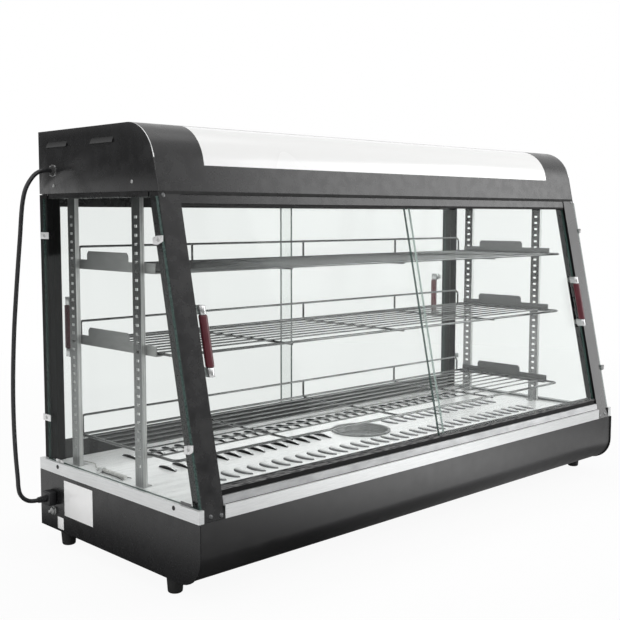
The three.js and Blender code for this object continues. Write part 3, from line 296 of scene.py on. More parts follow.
# Link cord: the route that the part's source has
CORD_RADIUS = 3.8
CORD_ROUTE = [
    (-594.35, 424, 671), (-604, 424, 671), (-616.2, 424.1, 668.6), (-626.6, 424.3, 661.6),
    (-641, 424.7, 641.4), (-648, 425.2, 617.7), (-655, 426, 551), (-663.3, 427.2, 464),
    (-669.2, 428.3, 390), (-673, 429.2, 307), (-673.6, 429.7, 245), (-671.8, 430, 180),
    (-668.6, 430, 130), (-668, 430, 116.5), (-665.6, 430, 104.6), (-658.9, 430, 94.6),
    (-648.9, 430, 87.9), (-637, 430, 85.5), (-632, 430, 85.5),
]

# Mesh tools
FILLET_SHARE = 0.45
TINY = 1e-9
ANGLE_GAP = 0.02
ROUNDED_TURN = math.radians(30)
PLANES = {"x": (1, 2, 0), "y": (0, 2, 1), "z": (0, 1, 2)}

# Camera in the frame's metres, fitted to the photograph
CAMERA_PLACE = (-1.49549, -1.41459, 0.59323)
CAMERA_YAW = 46.12
CAMERA_PITCH = 5.39
CAMERA_ROLL = 0.05
CAMERA_LENS = 58.18
SENSOR_WIDTH = 36.0

# Lamps in the frame's metres: place, target, size and power; the first one only lights the floor inside
LAMPS = (
    ("case_lamp", (0.0, 0.05, 0.59), (0.0, 0.05, 0.0), (1.0, 0.26), 4.2),
    ("key_lamp", (-0.6, -2.6, 2.4), (0, 0, 0.35), (2.4, 1.6), 17),
    ("side_lamp", (-3.0, 0.3, 1.6), (0, 0, 0.35), (1.6, 1.6), 15),
    ("right_lamp", (2.6, -2.1, 1.2), (0, -0.2, 0.9), (1.7, 2.3), 38),
    ("top_lamp", (0.2, 0.2, 3.0), (0, 0, 0.3), (2.6, 1.6), 9),
)

# World and studio floor in the frame's metres
WHITE = (1, 1, 1, 1)
WORLD_STRENGTH = 0.55
BRIGHT_SIDE = (0.96, 0.26, 0.0)
SIDE_RISE = (0.3, 0.8)
TOP_RISE = (0.12, 0.62)
DIM_SIDE = 0.12
FLOOR_SIZE = 24.0
FLOOR_COLOUR = (0.86, 0.86, 0.86, 1)
FLOOR_GLOW_SHARE = 0.93
FLOOR_GLOW_RISE = (0.8, 2.6)
# The floor as the object's gloss sees it: a painted shadow near the object, and painted light before its
# right half and beyond its left end
FLOOR_FOOTPRINT = (0.6, 0.24, 0.0)
FLOOR_BESIDE = (0.1, 0.24)
FLOOR_GLOSS_SHADOW_TO_LIGHT = (0.3, 2.1)
FLOOR_LIGHT_POOL_X = 0.36
FLOOR_LIGHT_POOL_REACH = (0.05, 0.68)
FLOOR_DIM_SHARE = 0.1
FLOOR_LEFT_REACH = (-0.72, -0.58)
FLOOR_LEFT_SHARE = 0.42

# Where finishes and painted light and shade change, as heights, depths or shares of a face's normal, in the
# frame's metres
SILL_STEP = (0.1517, 0.1521)
TRACK_WALL_STEP = (-0.26693, -0.26673)
TRACK_RIDGE_STEP = (0.1716, 0.172)
WINDOW_FOOT_RISE = (0.672, 0.7)
WINDOW_HIGHLIGHT_STEP = (0.734, 0.735)
STANDARD_SHADE_RISE = (0.3, 0.44)
BRACKET_SHADE_RISE = (-0.1, 0.14)
LOUVRE_SHADE_RISE = (0.72, 0.993)
FACING = 0.7

# Glass: share reflected head on and at a glance
GLASS_REFLECTED = (0.005, 0.405)
GLASS_POWER = 5.0
GLASS_TINT = (0.95, 0.98, 0.97, 1)
EDGE_ALPHA = 0.9

# Grains: scale, detail and stretch of each noise
EVEN = (1, 1, 1)
GRAINS = {
    "cloud": (7.0, 3.0, EVEN), "rub": (45.0, 4.0, EVEN), "peel": (900.0, 1.0, EVEN),
    "haze": (24.0, 3.0, EVEN), "crystals": (260.0, 5.0, EVEN), "wipe": (5.0, 3.0, EVEN),
    "spun": (60.0, 6.0, (3, 3, 3)), "rolled": (60.0, 6.0, (1.5, 40, 0.8)),
    "wear": (60.0, 4.0, EVEN), "pores": (700.0, 2.0, EVEN), "milk": (9.0, 3.0, EVEN),
    "fine": (120.0, 3.0, EVEN), "film": (6.0, 4.0, EVEN), "ground": (500.0, 3.0, EVEN),
    "trim_lines": (60.0, 6.0, (0.6, 0.6, 40)), "mottle": (26.0, 5.0, (1, 1, 3)),
    "floor_lines": (60.0, 6.0, (0.5, 20, 1)), "streaks": (70.0, 4.0, (9, 9, 0.12)),
    "spots": (30.0, 4.0, (1, 1, 4)), "pane_cloud": (5.0, 2.0, EVEN), "ridges": (420.0, 2.0, (0.15, 1, 2)),
}

# Tones: the levels of 0 to 255 that a grain runs between, some of them holding painted light and shade
TONES = {
    "glass": ((249, 250, 249.5), (250, 251, 250.5)),
    "green_edge": ((40, 60, 56), (70, 92, 87)),
    # pale_edge: a painted highlight on the left front door's glass edges
    "pale_edge": ((150, 168, 162), (176, 190, 186)),
    "pillar_front": ((27, 27, 28), (33, 33, 34)),
    # pillar_side_shade: painted shade on the sides of the right pillar
    "pillar_side_shade": ((6, 6, 7), (11, 11, 12)),
    "trim": ((214, 216, 216), (238, 239, 239)),
    # sill: painted shade and mottled painted reflections on the sill
    "sill": ((150, 151, 152), (178, 179, 180)),
    "floor": ((240, 241, 241), (253, 253, 253)),
    "flange": ((150, 151, 150), (222, 223, 222)),
    # upper_web and lower_web: painted shade on the standards' slotted webs, deeper towards the top
    "upper_web": ((40, 41, 41), (80, 81, 81)),
    "lower_web": ((112, 113, 113), (176, 177, 177)),
}
# Painted shade on the louvres' rising and turned-down sides
LOUVRE_SIDE_SHADE = (96, 97, 98)
# Brackets: the front tone, then painted shade towards the back and at the right end
BRACKET_FRONT = (176, 177, 176)
BRACKET_BACK_SHADE = (96, 97, 97)
BRACKET_RIGHT_SHADE = (104, 105, 105)
BRACKET_SPOT = (70, 71, 71)
# Hood window: painted shade that pales towards the foot, and a painted highlight along the top
PANE_UPPER_SHADE = (243, 243, 242)
PANE_LOWER = (247, 247, 247)
PANE_HIGHLIGHT = (254, 254, 254)
# Bottom track: painted shade on the outer wall and a painted highlight on the ridged walls behind it
TRACK_OUTER_SHADE = (12, 12, 13)
TRACK_LIT_RIDGES = ((56, 56, 57), (128, 128, 128))


def to_row(point):
    x, y, z = point
    return Vector((x, y - MIDDLE_Y, z)) * MILLIMETRE


def slope_y(z):
    return (z - BASE_TOP) * SLOPE


def grey(level):
    """The linear value of a grey that shows as the given level of 0 to 255."""
    share = level / 255
    return share / 12.92 if share <= 0.04045 else ((share + 0.055) / 1.055) ** 2.4


def colour(red, green, blue):
    return (grey(red), grey(green), grey(blue), 1.0)


# Materials
class Recipe:
    """The nodes of a material or world in the making. Its calls add nodes and return what comes out."""

    def __init__(self, owner):
        owner.use_nodes = True
        self.owner = owner
        self.tree = owner.node_tree
        self.tree.nodes.clear()
        places = self.add("ShaderNodeTexCoord").outputs
        self.place, self.heading = places["Object"], places["Generated"]

    def add(self, kind, sockets=None, **settings):
        node = self.tree.nodes.new(kind)
        for key, value in settings.items():
            setattr(node, key, value)
        for key, value in (sockets or {}).items():
            if isinstance(value, bpy.types.NodeSocket):
                self.tree.links.new(value, node.inputs[key])
            else:
                node.inputs[key].default_value = value
        return node

    def rays(self):
        return self.add("ShaderNodeLightPath").outputs

    def noise(self, grain):
        scale, detail, stretch = GRAINS[grain]
        placed = self.add("ShaderNodeMapping", {"Vector": self.place, "Scale": stretch}).outputs["Vector"]
        return self.add("ShaderNodeTexNoise", {"Vector": placed, "Scale": scale, "Detail": detail}).outputs[0]

    def between(self, factor, low, high, start=0.3, end=0.7, **settings):
        sockets = {"Value": factor, "From Min": start, "From Max": end, "To Min": low, "To Max": high}
        return self.add("ShaderNodeMapRange", sockets, **settings).outputs["Result"]

    def rough(self, grain, low, high):
        return self.between(self.noise(grain), low, high)

    def blended(self, factor, first, second):
        return self.add("ShaderNodeMix", {0: factor, 6: first, 7: second}, data_type="RGBA").outputs[2]

    def toned(self, grain, dark, pale, reach=1.0):
        return self.blended(self.rough(grain, 0.0, reach), dark, pale)

    def tone(self, name, grain):
        dark, pale = TONES[name]
        return self.toned(grain, colour(*dark), colour(*pale))

    def calculated(self, operation, first, second=0.0):
        return self.add("ShaderNodeMath", {0: first, 1: second}, operation=operation).outputs[0]

    def vector(self, operation, first, second=(0, 0, 0)):
        return self.add("ShaderNodeVectorMath", {0: first, 1: second}, operation=operation).outputs

    def part(self, axis, vector=None):
        """One coordinate of a vector, or of the place on the object."""
        source = self.place if vector is None else vector
        return self.add("ShaderNodeSeparateXYZ", {"Vector": source}).outputs[axis]

    def facing(self, axis):
        """How far a flat face looks along an axis, from 0 to 1."""
        normal = self.add("ShaderNodeNewGeometry").outputs["True Normal"]
        return self.calculated("ABSOLUTE", self.part(axis, normal))

    def bumped(self, grain, strength, distance):
        sockets = {"Height": self.noise(grain), "Strength": strength, "Distance": distance}
        return self.add("ShaderNodeBump", sockets).outputs["Normal"]

    def principled(self, sockets):
        return self.add("ShaderNodeBsdfPrincipled", sockets).outputs["BSDF"]

    def mixed(self, factor, first, second):
        return self.add("ShaderNodeMixShader", {0: factor, 1: first, 2: second}).outputs[0]

    def done(self, shader, output="ShaderNodeOutputMaterial"):
        self.add(output, {"Surface": shader})
        return self.owner


def new_recipe(name):
    return Recipe(bpy.data.materials.new(name))


def grained(name, tones, rough, sockets, bump=None):
    """A finish whose colour and roughness follow grains, with fine bumps from a third one."""
    made = new_recipe(name)
    sockets = {"Base Color": made.toned(*tones), "Roughness": made.rough(*rough), **sockets}
    if bump:
        sockets["Normal"] = made.bumped(*bump)
    return made.done(made.principled(sockets))


def shaded(tone, share):
    return tuple(value * share for value in tone[:3]) + (1.0,)


def painted_sheet(name, level, roughness, gloss=0.5):
    """Stoved enamel on sheet metal: an even colour, rubbed patches and a slight orange peel."""
    tones = ("cloud", colour(level - 3, level - 3, level - 2), colour(level + 3, level + 3, level + 4))
    rough = ("rub", roughness - 0.05, roughness + 0.06)
    return grained(name, tones, rough, {"Specular IOR Level": gloss}, ("peel", 0.03, 0.0003))


def plated_metal(name, levels, roughness, metallic=0.9):
    """Zinc or chrome plate: small bright and dull crystals under a slight haze."""
    tone = colour(*levels)
    rough = ("crystals", roughness - 0.07, roughness + 0.08)
    return grained(
        name, ("haze", shaded(tone, 0.72), tone), rough, {"Metallic": metallic}, ("crystals", 0.05, 0.0003)
    )


def moulded(name, levels, roughness):
    """Plastic or rubber with a moulded grain and slightly paler worn patches."""
    tone = colour(*levels)
    pale = tuple(min(1.0, value * 1.35 + 0.004) for value in tone[:3]) + (1.0,)
    rough = ("wear", roughness - 0.06, roughness + 0.07)
    return grained(name, ("wear", tone, pale, 0.6), rough, {}, ("pores", 0.12, 0.0004))


def opal_plastic(name, level, roughness):
    """White plastic: even and glossy, with very faint clouding."""
    tones = ("milk", colour(level - 4, level - 4, level - 5), colour(level, level, level))
    rough = ("fine", roughness - 0.03, roughness + 0.05)
    return grained(name, tones, rough, {"Coat Weight": 0.4, "Coat Roughness": 0.08})


def brushed_metal(name, grain, levels, roughness, metallic):
    """Stainless sheet with fine lines along one direction and cloudy wipe marks."""
    made = new_recipe(name)
    tone = colour(*levels)
    lines = made.rough(grain, roughness - 0.06, roughness + 0.06)
    return made.done(made.principled({
        "Base Color": made.toned(grain, shaded(tone, 0.86), tone),
        "Metallic": metallic,
        "Roughness": made.calculated("ADD", lines, made.rough("wipe", -0.04, 0.04)),
        "Normal": made.bumped(grain, 0.08, 0.0003),
    }))


def pane_glass(name, across, edges):
    """Float glass: clear faces across one axis with a soft reflection, and ground green edges."""
    made = new_recipe(name)
    facing = made.add("ShaderNodeLayerWeight", {"Blend": 0.5}).outputs["Facing"]
    glance = made.calculated("POWER", facing, GLASS_POWER)
    reflected = made.between(glance, *GLASS_REFLECTED, 0.0, 1.0)
    film = {"Color": GLASS_TINT, "Roughness": made.rough("film", 0.01, 0.06)}
    gloss = made.add("ShaderNodeBsdfGlossy", film).outputs[0]
    through = made.add("ShaderNodeBsdfTransparent", {"Color": made.tone("glass", "film")}).outputs[0]
    edge = made.principled({
        "Base Color": made.tone(edges, "ground"),
        "Roughness": made.rough("ground", 0.12, 0.3),
        "Alpha": EDGE_ALPHA,
    })
    is_edge = made.calculated("LESS_THAN", made.facing(across), FACING)
    return made.done(made.mixed(is_edge, made.mixed(reflected, through, gloss), edge))


def dark_sided_sheet(name):
    """Black enamel on the front of the right pillar, with painted shade making the sides that face the case
    dull and deeper.
    """
    made = new_recipe(name)
    front = made.principled({
        "Base Color": made.tone("pillar_front", "cloud"),
        "Roughness": made.rough("cloud", 0.24, 0.32),
    })
    side = made.principled({
        "Base Color": made.tone("pillar_side_shade", "cloud"),
        "Roughness": made.rough("cloud", 0.5, 0.6),
        "Specular IOR Level": 0.1,
    })
    return made.done(made.mixed(made.calculated("GREATER_THAN", made.facing("X"), FACING), front, side))


def trim_steel(name):
    """Brushed stainless sheet, made darker on the sill above the trim by painted shade and mottled painted
    reflections.
    """
    made = new_recipe(name)
    sill_shade = made.between(made.part("Z"), 0.0, 1.0, *SILL_STEP)
    return made.done(made.principled({
        "Base Color": made.blended(sill_shade, made.tone("trim", "trim_lines"), made.tone("sill", "mottle")),
        "Metallic": 0.42,
        "Roughness": made.rough("trim_lines", 0.3, 0.42),
        "Normal": made.bumped("trim_lines", 0.08, 0.0003),
    }))


def louvred_steel(name):
    """The bright floor: nearly white where it is flat, and greyed by painted shade where the louvres rise or
    turn down.
    """
    made = new_recipe(name)
    normal = made.add("ShaderNodeNewGeometry").outputs["Normal"]
    side_shade = made.between(made.part("Z", normal), 1.0, 0.0, *LOUVRE_SHADE_RISE)
    return made.done(made.principled({
        "Base Color": made.blended(side_shade, made.tone("floor", "floor_lines"), colour(*LOUVRE_SIDE_SHADE)),
        "Metallic": 0.06,
        "Roughness": made.rough("floor_lines", 0.25, 0.35),
        "Coat Weight": 0.45,
        "Coat Roughness": 0.01,
    }))


def slotted_steel(name):
    """Zinc plate with upright streaks; its slotted webs carry painted shade, deepest towards the top, that
    their flanges don't.
    """
    made = new_recipe(name)
    web = made.calculated("GREATER_THAN", made.facing("X"), FACING)
    low = made.between(made.part("Z"), 1.0, 0.0, *STANDARD_SHADE_RISE)
    web_shade = made.blended(low, made.tone("upper_web", "streaks"), made.tone("lower_web", "streaks"))
    return made.done(made.principled({
        "Base Color": made.blended(web, made.tone("flange", "streaks"), web_shade),
        "Metallic": 0.5,
        "Roughness": made.rough("streaks", 0.32, 0.46),
    }))


def bracket_steel(name):
    """Zinc plate with painted shade: darker at the right end of the case and towards the back of the left
    end.
    """
    made = new_recipe(name)
    backwards = made.between(made.part("Y"), 0.0, 1.0, *BRACKET_SHADE_RISE)
    left = made.blended(backwards, colour(*BRACKET_FRONT), colour(*BRACKET_BACK_SHADE))
    at_right = made.calculated("GREATER_THAN", made.part("X"), 0.0)
    plate = made.blended(at_right, left, colour(*BRACKET_RIGHT_SHADE))
    return made.done(made.principled({
        "Base Color": made.toned("spots", plate, colour(*BRACKET_SPOT), 0.25),
        "Metallic": 0.5,
        "Roughness": made.rough("spots", 0.32, 0.44),
    }))


def window_painted_light(name):
    """The hood's white window: a painted highlight along its top, then painted grey shade that pales towards
    its foot.
    """
    made = new_recipe(name)
    lower = made.between(made.part("Z"), 1.0, 0.0, *WINDOW_FOOT_RISE)
    pane = made.blended(lower, colour(*PANE_UPPER_SHADE), colour(*PANE_LOWER))
    highlight = made.between(made.part("Z"), 0.0, 1.0, *WINDOW_HIGHLIGHT_STEP)
    return made.done(made.principled({
        "Base Color": made.blended(highlight, pane, colour(*PANE_HIGHLIGHT)),
        "Roughness": made.rough("pane_cloud", 0.2, 0.28),
        "Coat Weight": 0.3,
        "Coat Roughness": 0.08,
    }))


def ridged_track(name):
    """The doors' bottom track: painted shade on its black outer wall, and a painted highlight greying the
    walls and fine ridges behind it.
    """
    made = new_recipe(name)
    depth = made.calculated("SUBTRACT", made.part("Y"), made.calculated("MULTIPLY", made.part("Z"), SLOPE))
    inner = made.between(depth, 0.0, 1.0, *TRACK_WALL_STEP)
    upper = made.between(made.part("Z"), 0.0, 1.0, *TRACK_RIDGE_STEP)
    spread = made.between(made.noise("ridges"), 0.0, 1.0, 0.4, 0.6)
    lit_ridges = made.blended(spread, *(colour(*levels) for levels in TRACK_LIT_RIDGES))
    behind = made.calculated("MAXIMUM", inner, upper)
    return made.done(made.principled({
        "Base Color": made.blended(behind, colour(*TRACK_OUTER_SHADE), lit_ridges),
        "Roughness": made.rough("ridges", 0.5, 0.65),
        "Specular IOR Level": 0.12,
    }))


# Finishes: the record's slot, the recipe and the recipe's values
FINISHES = {
    "black_sheet": ("black_sheet", painted_sheet, 29, 0.26),
    "base_sheet": ("black_sheet", painted_sheet, 27, 0.36, 1.0),
    "hood_sheet": ("black_sheet", painted_sheet, 29, 0.5, 0.2),
    # A duller copy of the black sheet for the rear posts, darkened with painted shade
    "dull_sheet": ("black_sheet", painted_sheet, 22, 0.5, 0.12),
    "dark_sided_sheet": ("black_sheet", dark_sided_sheet),
    "stainless_trim": ("stainless_trim", trim_steel),
    "spun_dish": ("stainless_trim", brushed_metal, "spun", (136, 137, 137), 0.3, 0.3),
    "bright_floor": ("bright_floor", louvred_steel),
    "plated_steel": ("plated_steel", brushed_metal, "rolled", (190, 191, 190), 0.34, 0.55),
    "streaked_steel": ("plated_steel", slotted_steel),
    "graded_steel": ("plated_steel", bracket_steel),
    "dark_screw": ("plated_steel", plated_metal, (118, 119, 120), 0.3),
    "bare_edge": ("plated_steel", plated_metal, (222, 223, 223), 0.25),
    "clip_plate": ("plated_steel", plated_metal, (242, 242, 242), 0.3, 0.25),
    "chrome_handle": ("chrome_handle", plated_metal, (232, 233, 233), 0.2, 0.7),
    "chrome_wire": ("chrome_wire", plated_metal, (132, 133, 133), 0.15, 1.0),
    "nickel_bulb": ("nickel_bulb", plated_metal, (236, 235, 232), 0.3, 0.5),
    "element_steel": ("element_steel", plated_metal, (96, 88, 80), 0.45, 0.8),
    "black_track": ("black_track", moulded, (36, 36, 37), 0.45),
    "ridged_track": ("black_track", ridged_track),
    "maroon_plastic": ("maroon_plastic", moulded, (80, 22, 33), 0.36),
    "black_rubber": ("black_rubber", moulded, (38, 38, 38), 0.6),
    "grey_pad": ("black_rubber", moulded, (96, 96, 97), 0.6),
    "cord_jacket": ("cord_jacket", moulded, (30, 30, 32), 0.35),
    "black_plastic": ("black_plastic", moulded, (32, 32, 34), 0.38),
    # Near black for the joint line below the sill, and painted shade in the hood's gap and on the top track
    "seam_black": ("black_plastic", moulded, (12, 12, 12), 0.8),
    "clear_glass": ("clear_glass", pane_glass, "Y", "green_edge"),
    "end_glass": ("clear_glass", pane_glass, "X", "green_edge"),
    # The left front door's glass, whose edges carry a painted highlight
    "pale_edge_glass": ("clear_glass", pane_glass, "Y", "pale_edge"),
    "white_acrylic": ("white_acrylic", window_painted_light),
    "white_paint": ("white_paint", opal_plastic, 226, 0.4),
    "bare_plate": ("white_paint", opal_plastic, 255, 0.4),
}
materials = {name: recipe(name, *values) for name, (slot, recipe, *values) in FINISHES.items()}

# Solids whose finish isn't that of their slot, by the start of their names
SPECIAL_FINISHES = (
    ("hood_cover", "hood_sheet"), ("rear_post", "dull_sheet"), ("front_pillar_right", "dark_sided_sheet"),
    ("end_glass", "end_glass"), ("front_door_left", "pale_edge_glass"),
    ("standard", "streaked_steel"), ("bracket", "graded_steel"),
    # The top track takes the near-black finish as painted shade under the header
    ("front_track_bottom", "ridged_track"), ("front_track_top", "seam_black"),
)


def dress_frame():
    for subpart in frame["record"]["subparts"]:
        special = [name for start, name in SPECIAL_FINISHES if subpart["node"].startswith(start)]
        held = nodes[subpart["node"]].data.materials
        held.clear()
        held.append(materials[(special + [subpart["material_slot"]])[0]])


# Camera, light and stage
def add_camera():
    data = bpy.data.cameras.new("camera")
    data.lens = CAMERA_LENS
    data.sensor_width = SENSOR_WIDTH
    camera = bpy.data.objects.new("camera", data)
    heading = Matrix.Rotation(math.radians(CAMERA_YAW - 90), 4, "Z")
    tilt = Matrix.Rotation(math.radians(90 - CAMERA_PITCH), 4, "X")
    roll = Matrix.Rotation(math.radians(CAMERA_ROLL), 4, "Z")
    camera.matrix_world = Matrix.Translation(Vector(CAMERA_PLACE)) @ heading @ tilt @ roll
    bpy.context.scene.collection.objects.link(camera)
    bpy.context.scene.camera = camera


def studio_glow(made):
    """How bright the studio is towards a side: bright above and at the right, dimmer at the left."""
    turned = made.vector("DOT_PRODUCT", made.heading, BRIGHT_SIDE)["Value"]
    rises = [
        made.between(value, 0.0, 1.0, *rise, interpolation_type="SMOOTHSTEP")
        for value, rise in ((turned, SIDE_RISE), (made.part("Z", made.heading), TOP_RISE))
    ]
    return made.between(made.calculated("MAXIMUM", *rises), DIM_SIDE, 1.0, 0.0, 1.0)


def add_world():
    """Soft light on the object, the studio's glow in its gloss, and white behind it."""
    made = Recipe(bpy.data.worlds.new("studio"))
    soft, glow, white = (
        made.add("ShaderNodeBackground", {"Color": WHITE, "Strength": strength}).outputs[0]
        for strength in (WORLD_STRENGTH, studio_glow(made), 1.0)
    )
    rays = made.rays()
    surface = made.mixed(rays["Is Glossy Ray"], soft, glow)
    for ray in ("Is Transmission Ray", "Is Camera Ray"):
        surface = made.mixed(rays[ray], surface, white)
    bpy.context.scene.world = made.done(surface, "ShaderNodeOutputWorld")


def floor_gloss_painted_light(made):
    """How bright the floor is in the object's gloss: a painted shadow near it, and painted light before its
    right half and a little beyond its left end.
    """
    aside = made.place
    for operation, other in (("ABSOLUTE", (0, 0, 0)), ("SUBTRACT", FLOOR_FOOTPRINT), ("MAXIMUM", (0, 0, 0))):
        aside = made.vector(operation, aside, other)["Vector"]
    risen = made.between(made.vector("LENGTH", aside)["Value"], *FLOOR_GLOSS_SHADOW_TO_LIGHT, *FLOOR_BESIDE)
    across = made.part("X")
    off_glow = made.calculated("ABSOLUTE", made.calculated("SUBTRACT", across, FLOOR_LIGHT_POOL_X))
    front = made.between(off_glow, 1.0, FLOOR_DIM_SHARE, *FLOOR_LIGHT_POOL_REACH)
    left = made.between(across, FLOOR_LEFT_SHARE, 0.0, *FLOOR_LEFT_REACH)
    return made.calculated("MULTIPLY", risen, made.calculated("MAXIMUM", front, left))


def floor_material():
    """A pale floor that turns white away from the object wherever it is seen, and which the object's gloss
    sees with a painted shadow and painted light.
    """
    made = new_recipe("studio_floor")
    diffuse = made.add("ShaderNodeBsdfDiffuse", {"Color": FLOOR_COLOUR}).outputs[0]
    glow, painted_gloss_light = (
        made.add("ShaderNodeEmission", {"Color": WHITE, "Strength": strength}).outputs[0]
        for strength in (1.0, floor_gloss_painted_light(made))
    )
    rays = made.rays()
    seen = made.calculated("MAXIMUM", rays["Is Camera Ray"], rays["Is Glossy Ray"])
    seen = made.calculated("MAXIMUM", seen, rays["Is Transmission Ray"])
    away = made.vector("LENGTH", made.place)["Value"]
    share = made.calculated("MULTIPLY", seen, made.between(away, FLOOR_GLOW_SHARE, 1.0, *FLOOR_GLOW_RISE))
    return made.done(made.mixed(rays["Is Glossy Ray"], made.mixed(share, diffuse, glow), painted_gloss_light))


def add_floor():
    form = bmesh.new()
    bmesh.ops.create_grid(form, x_segments=1, y_segments=1, size=FLOOR_SIZE / 2)
    mesh = bpy.data.meshes.new("studio_floor")
    form.to_mesh(mesh)
    form.free()
    floor = bpy.data.objects.new("studio_floor", mesh)
    floor.data.materials.append(floor_material())
    bpy.context.scene.collection.objects.link(floor)


def add_lamp(name, place, target, size, power):
    data = bpy.data.lights.new(name, "AREA")
    data.shape = "RECTANGLE"
    data.size, data.size_y = size
    data.energy = power
    lamp = bpy.data.objects.new(name, data)
    lamp.rotation_euler = (Vector(target) - Vector(place)).to_track_quat("-Z", "Y").to_euler()
    lamp.location = place
    bpy.context.scene.collection.objects.link(lamp)
    return lamp


def add_lamps():
    inside, *_ = [add_lamp(*values) for values in LAMPS]
    inside.visible_camera = False
    inside.visible_glossy = False
    inside.visible_transmission = False


# Pieces
def add_object(name, data, finish, body="case", stands_for=()):
    made = bpy.data.objects.new(name, data)
    made.data.materials.append(materials[finish])
    bpy.context.scene.collection.objects.link(made)
    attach(made, body)
    if stands_for:
        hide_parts(*stands_for)
    return made


def catmull(spots, share):
    """The centripetal curve's point at a share of the way from the second spot to the third."""
    knots = [0.0]
    for first, second in zip(spots, spots[1:]):
        knots.append(knots[-1] + max((second - first).length, TINY) ** 0.5)
    at = knots[1] + (knots[2] - knots[1]) * share

    def mixed(first, second, low, high):
        return first * ((high - at) / (high - low)) + second * ((at - low) / (high - low))

    outer = [mixed(spots[i], spots[i + 1], knots[i], knots[i + 1]) for i in range(3)]
    inner = [mixed(outer[i], outer[i + 1], knots[i], knots[i + 2]) for i in range(2)]
    return mixed(*inner, knots[1], knots[2])


def smooth_line(points, steps):
    """Points along a Catmull-Rom curve through the given ones, as Vectors in the row frame."""
    spots = [to_row(point) for point in points]
    spots = [spots[0] * 2 - spots[1]] + spots + [spots[-1] * 2 - spots[-2]]
    line = [catmull(spots[i:i + 4], step / steps) for i in range(len(spots) - 3) for step in range(steps)]
    return line + [spots[-2]]


def wire_curve(name, lines, resolution=4):
    """A curve of straight-stepped wires; each line is (radius in millimetres, points in metres)."""
    curve = bpy.data.curves.new(name, "CURVE")
    curve.dimensions = "3D"
    curve.bevel_depth = MILLIMETRE
    curve.bevel_resolution = resolution
    curve.use_fill_caps = True
    for radius, points in lines:
        spline = curve.splines.new("POLY")
        spline.points.add(len(points) - 1)
        for spot, place in zip(spline.points, points):
            spot.co = (*place, 1.0)
            spot.radius = radius
    return curve


# Lines and outlines
def arc(centre, radius, start, end, steps):
    """Points of an arc in a plane, with angles in degrees."""
    angles = [math.radians(start + (end - start) * step / steps) for step in range(steps + 1)]
    return [(centre[0] + radius * math.cos(a), centre[1] + radius * math.sin(a)) for a in angles]


def filleted(points, radius, steps=4):
    """An open line whose inner corners are rounded by a short curve."""
    line = [points[0]]
    for before, corner, after in zip(points, points[1:], points[2:]):
        corner, ends = Vector(corner), [Vector(before), Vector(after)]
        reaches = [min(radius, (end - corner).length * FILLET_SHARE) for end in ends]
        start, finish = (corner + (end - corner).normalized() * reach for end, reach in zip(ends, reaches))
        for step in range(steps + 1):
            share = step / steps
            point = start * (1 - share) ** 2 + corner * 2 * share * (1 - share) + finish * share ** 2
            line.append(tuple(point))
    return line + [points[-1]]


def offset_line(line, distance):
    """The line at a given distance to the left of an open line, with mitred corners."""
    spots = [Vector(point) for point in line]
    ways = [(end - start).normalized() for start, end in zip(spots, spots[1:])]
    sides = [Vector((-way.y, way.x)) for way in ways]
    moved = []
    for index, spot in enumerate(spots):
        before, after = sides[max(index - 1, 0)], sides[min(index, len(sides) - 1)]
        middle = (before + after).normalized()
        moved.append(tuple(spot + middle * (distance / middle.dot(after))))
    return moved


# Forms: a form is a bmesh drawn in millimetres from the front plane
def spot_on(axis, first, second, along):
    """A point from its two places across an axis and its place along it."""
    spot = [0.0, 0.0, 0.0]
    for place, value in zip(PLANES[axis], (first, second, along)):
        spot[place] = value
    return spot


def join_rings(form, lower, upper):
    """Faces between two rings of points, where a ring may be a single point."""
    count = max(len(lower), len(upper))
    for index in range(count):
        after = (index + 1) % count
        corners = [lower[index % len(lower)], lower[after % len(lower)]]
        corners += [upper[after % len(upper)], upper[index % len(upper)]]
        form.faces.new(list(dict.fromkeys(corners)))


def add_prism(form, outline, axis, start, end):
    """A solid with one outline, swept straight along an axis."""
    rings = [[form.verts.new(spot_on(axis, *point, along)) for point in outline] for along in (start, end)]
    join_rings(form, *rings)
    form.faces.new(rings[0][::-1])
    form.faces.new(rings[1])


def add_bent_sheet(form, line, thickness, axis, start, end):
    """A sheet that lies to the left of its line, swept along an axis."""
    add_prism(form, list(line) + offset_line(line, thickness)[::-1], axis, start, end)


def add_turned(form, profile, axis, base, sides=40, closed=False):
    """A solid of revolution, with a profile of radius and height above its base."""
    rings = []
    for radius, height in profile:
        count = sides if radius > 0 else 1
        turned = arc((0, 0), radius, 0, 360, count)[:-1]
        spots = [spot_on(axis, *point, height) for point in turned]
        rings.append([form.verts.new([place + shift for place, shift in zip(base, spot)]) for spot in spots])
    for lower, upper in zip(rings, rings[1:] + rings[:1] * closed):
        join_rings(form, lower, upper)


def block_outline(first, second):
    return [(first[0], second[0]), (first[1], second[0]), (first[1], second[1]), (first[0], second[1])]


def add_block(form, xs, ys, zs):
    add_prism(form, block_outline(xs, ys), "z", *zs)


def around(middle, half):
    return (middle - half, middle + half)


def rounded_edges(form, width, segments=2):
    """Rounds every edge that turns sharply."""
    bmesh.ops.recalc_face_normals(form, faces=form.faces)
    edges = [e for e in form.edges if len(e.link_faces) == 2 and e.calc_face_angle() > ROUNDED_TURN]
    bmesh.ops.bevel(
        form, geom=edges, offset=width, segments=segments, affect="EDGES", profile=0.5, clamp_overlap=True
    )


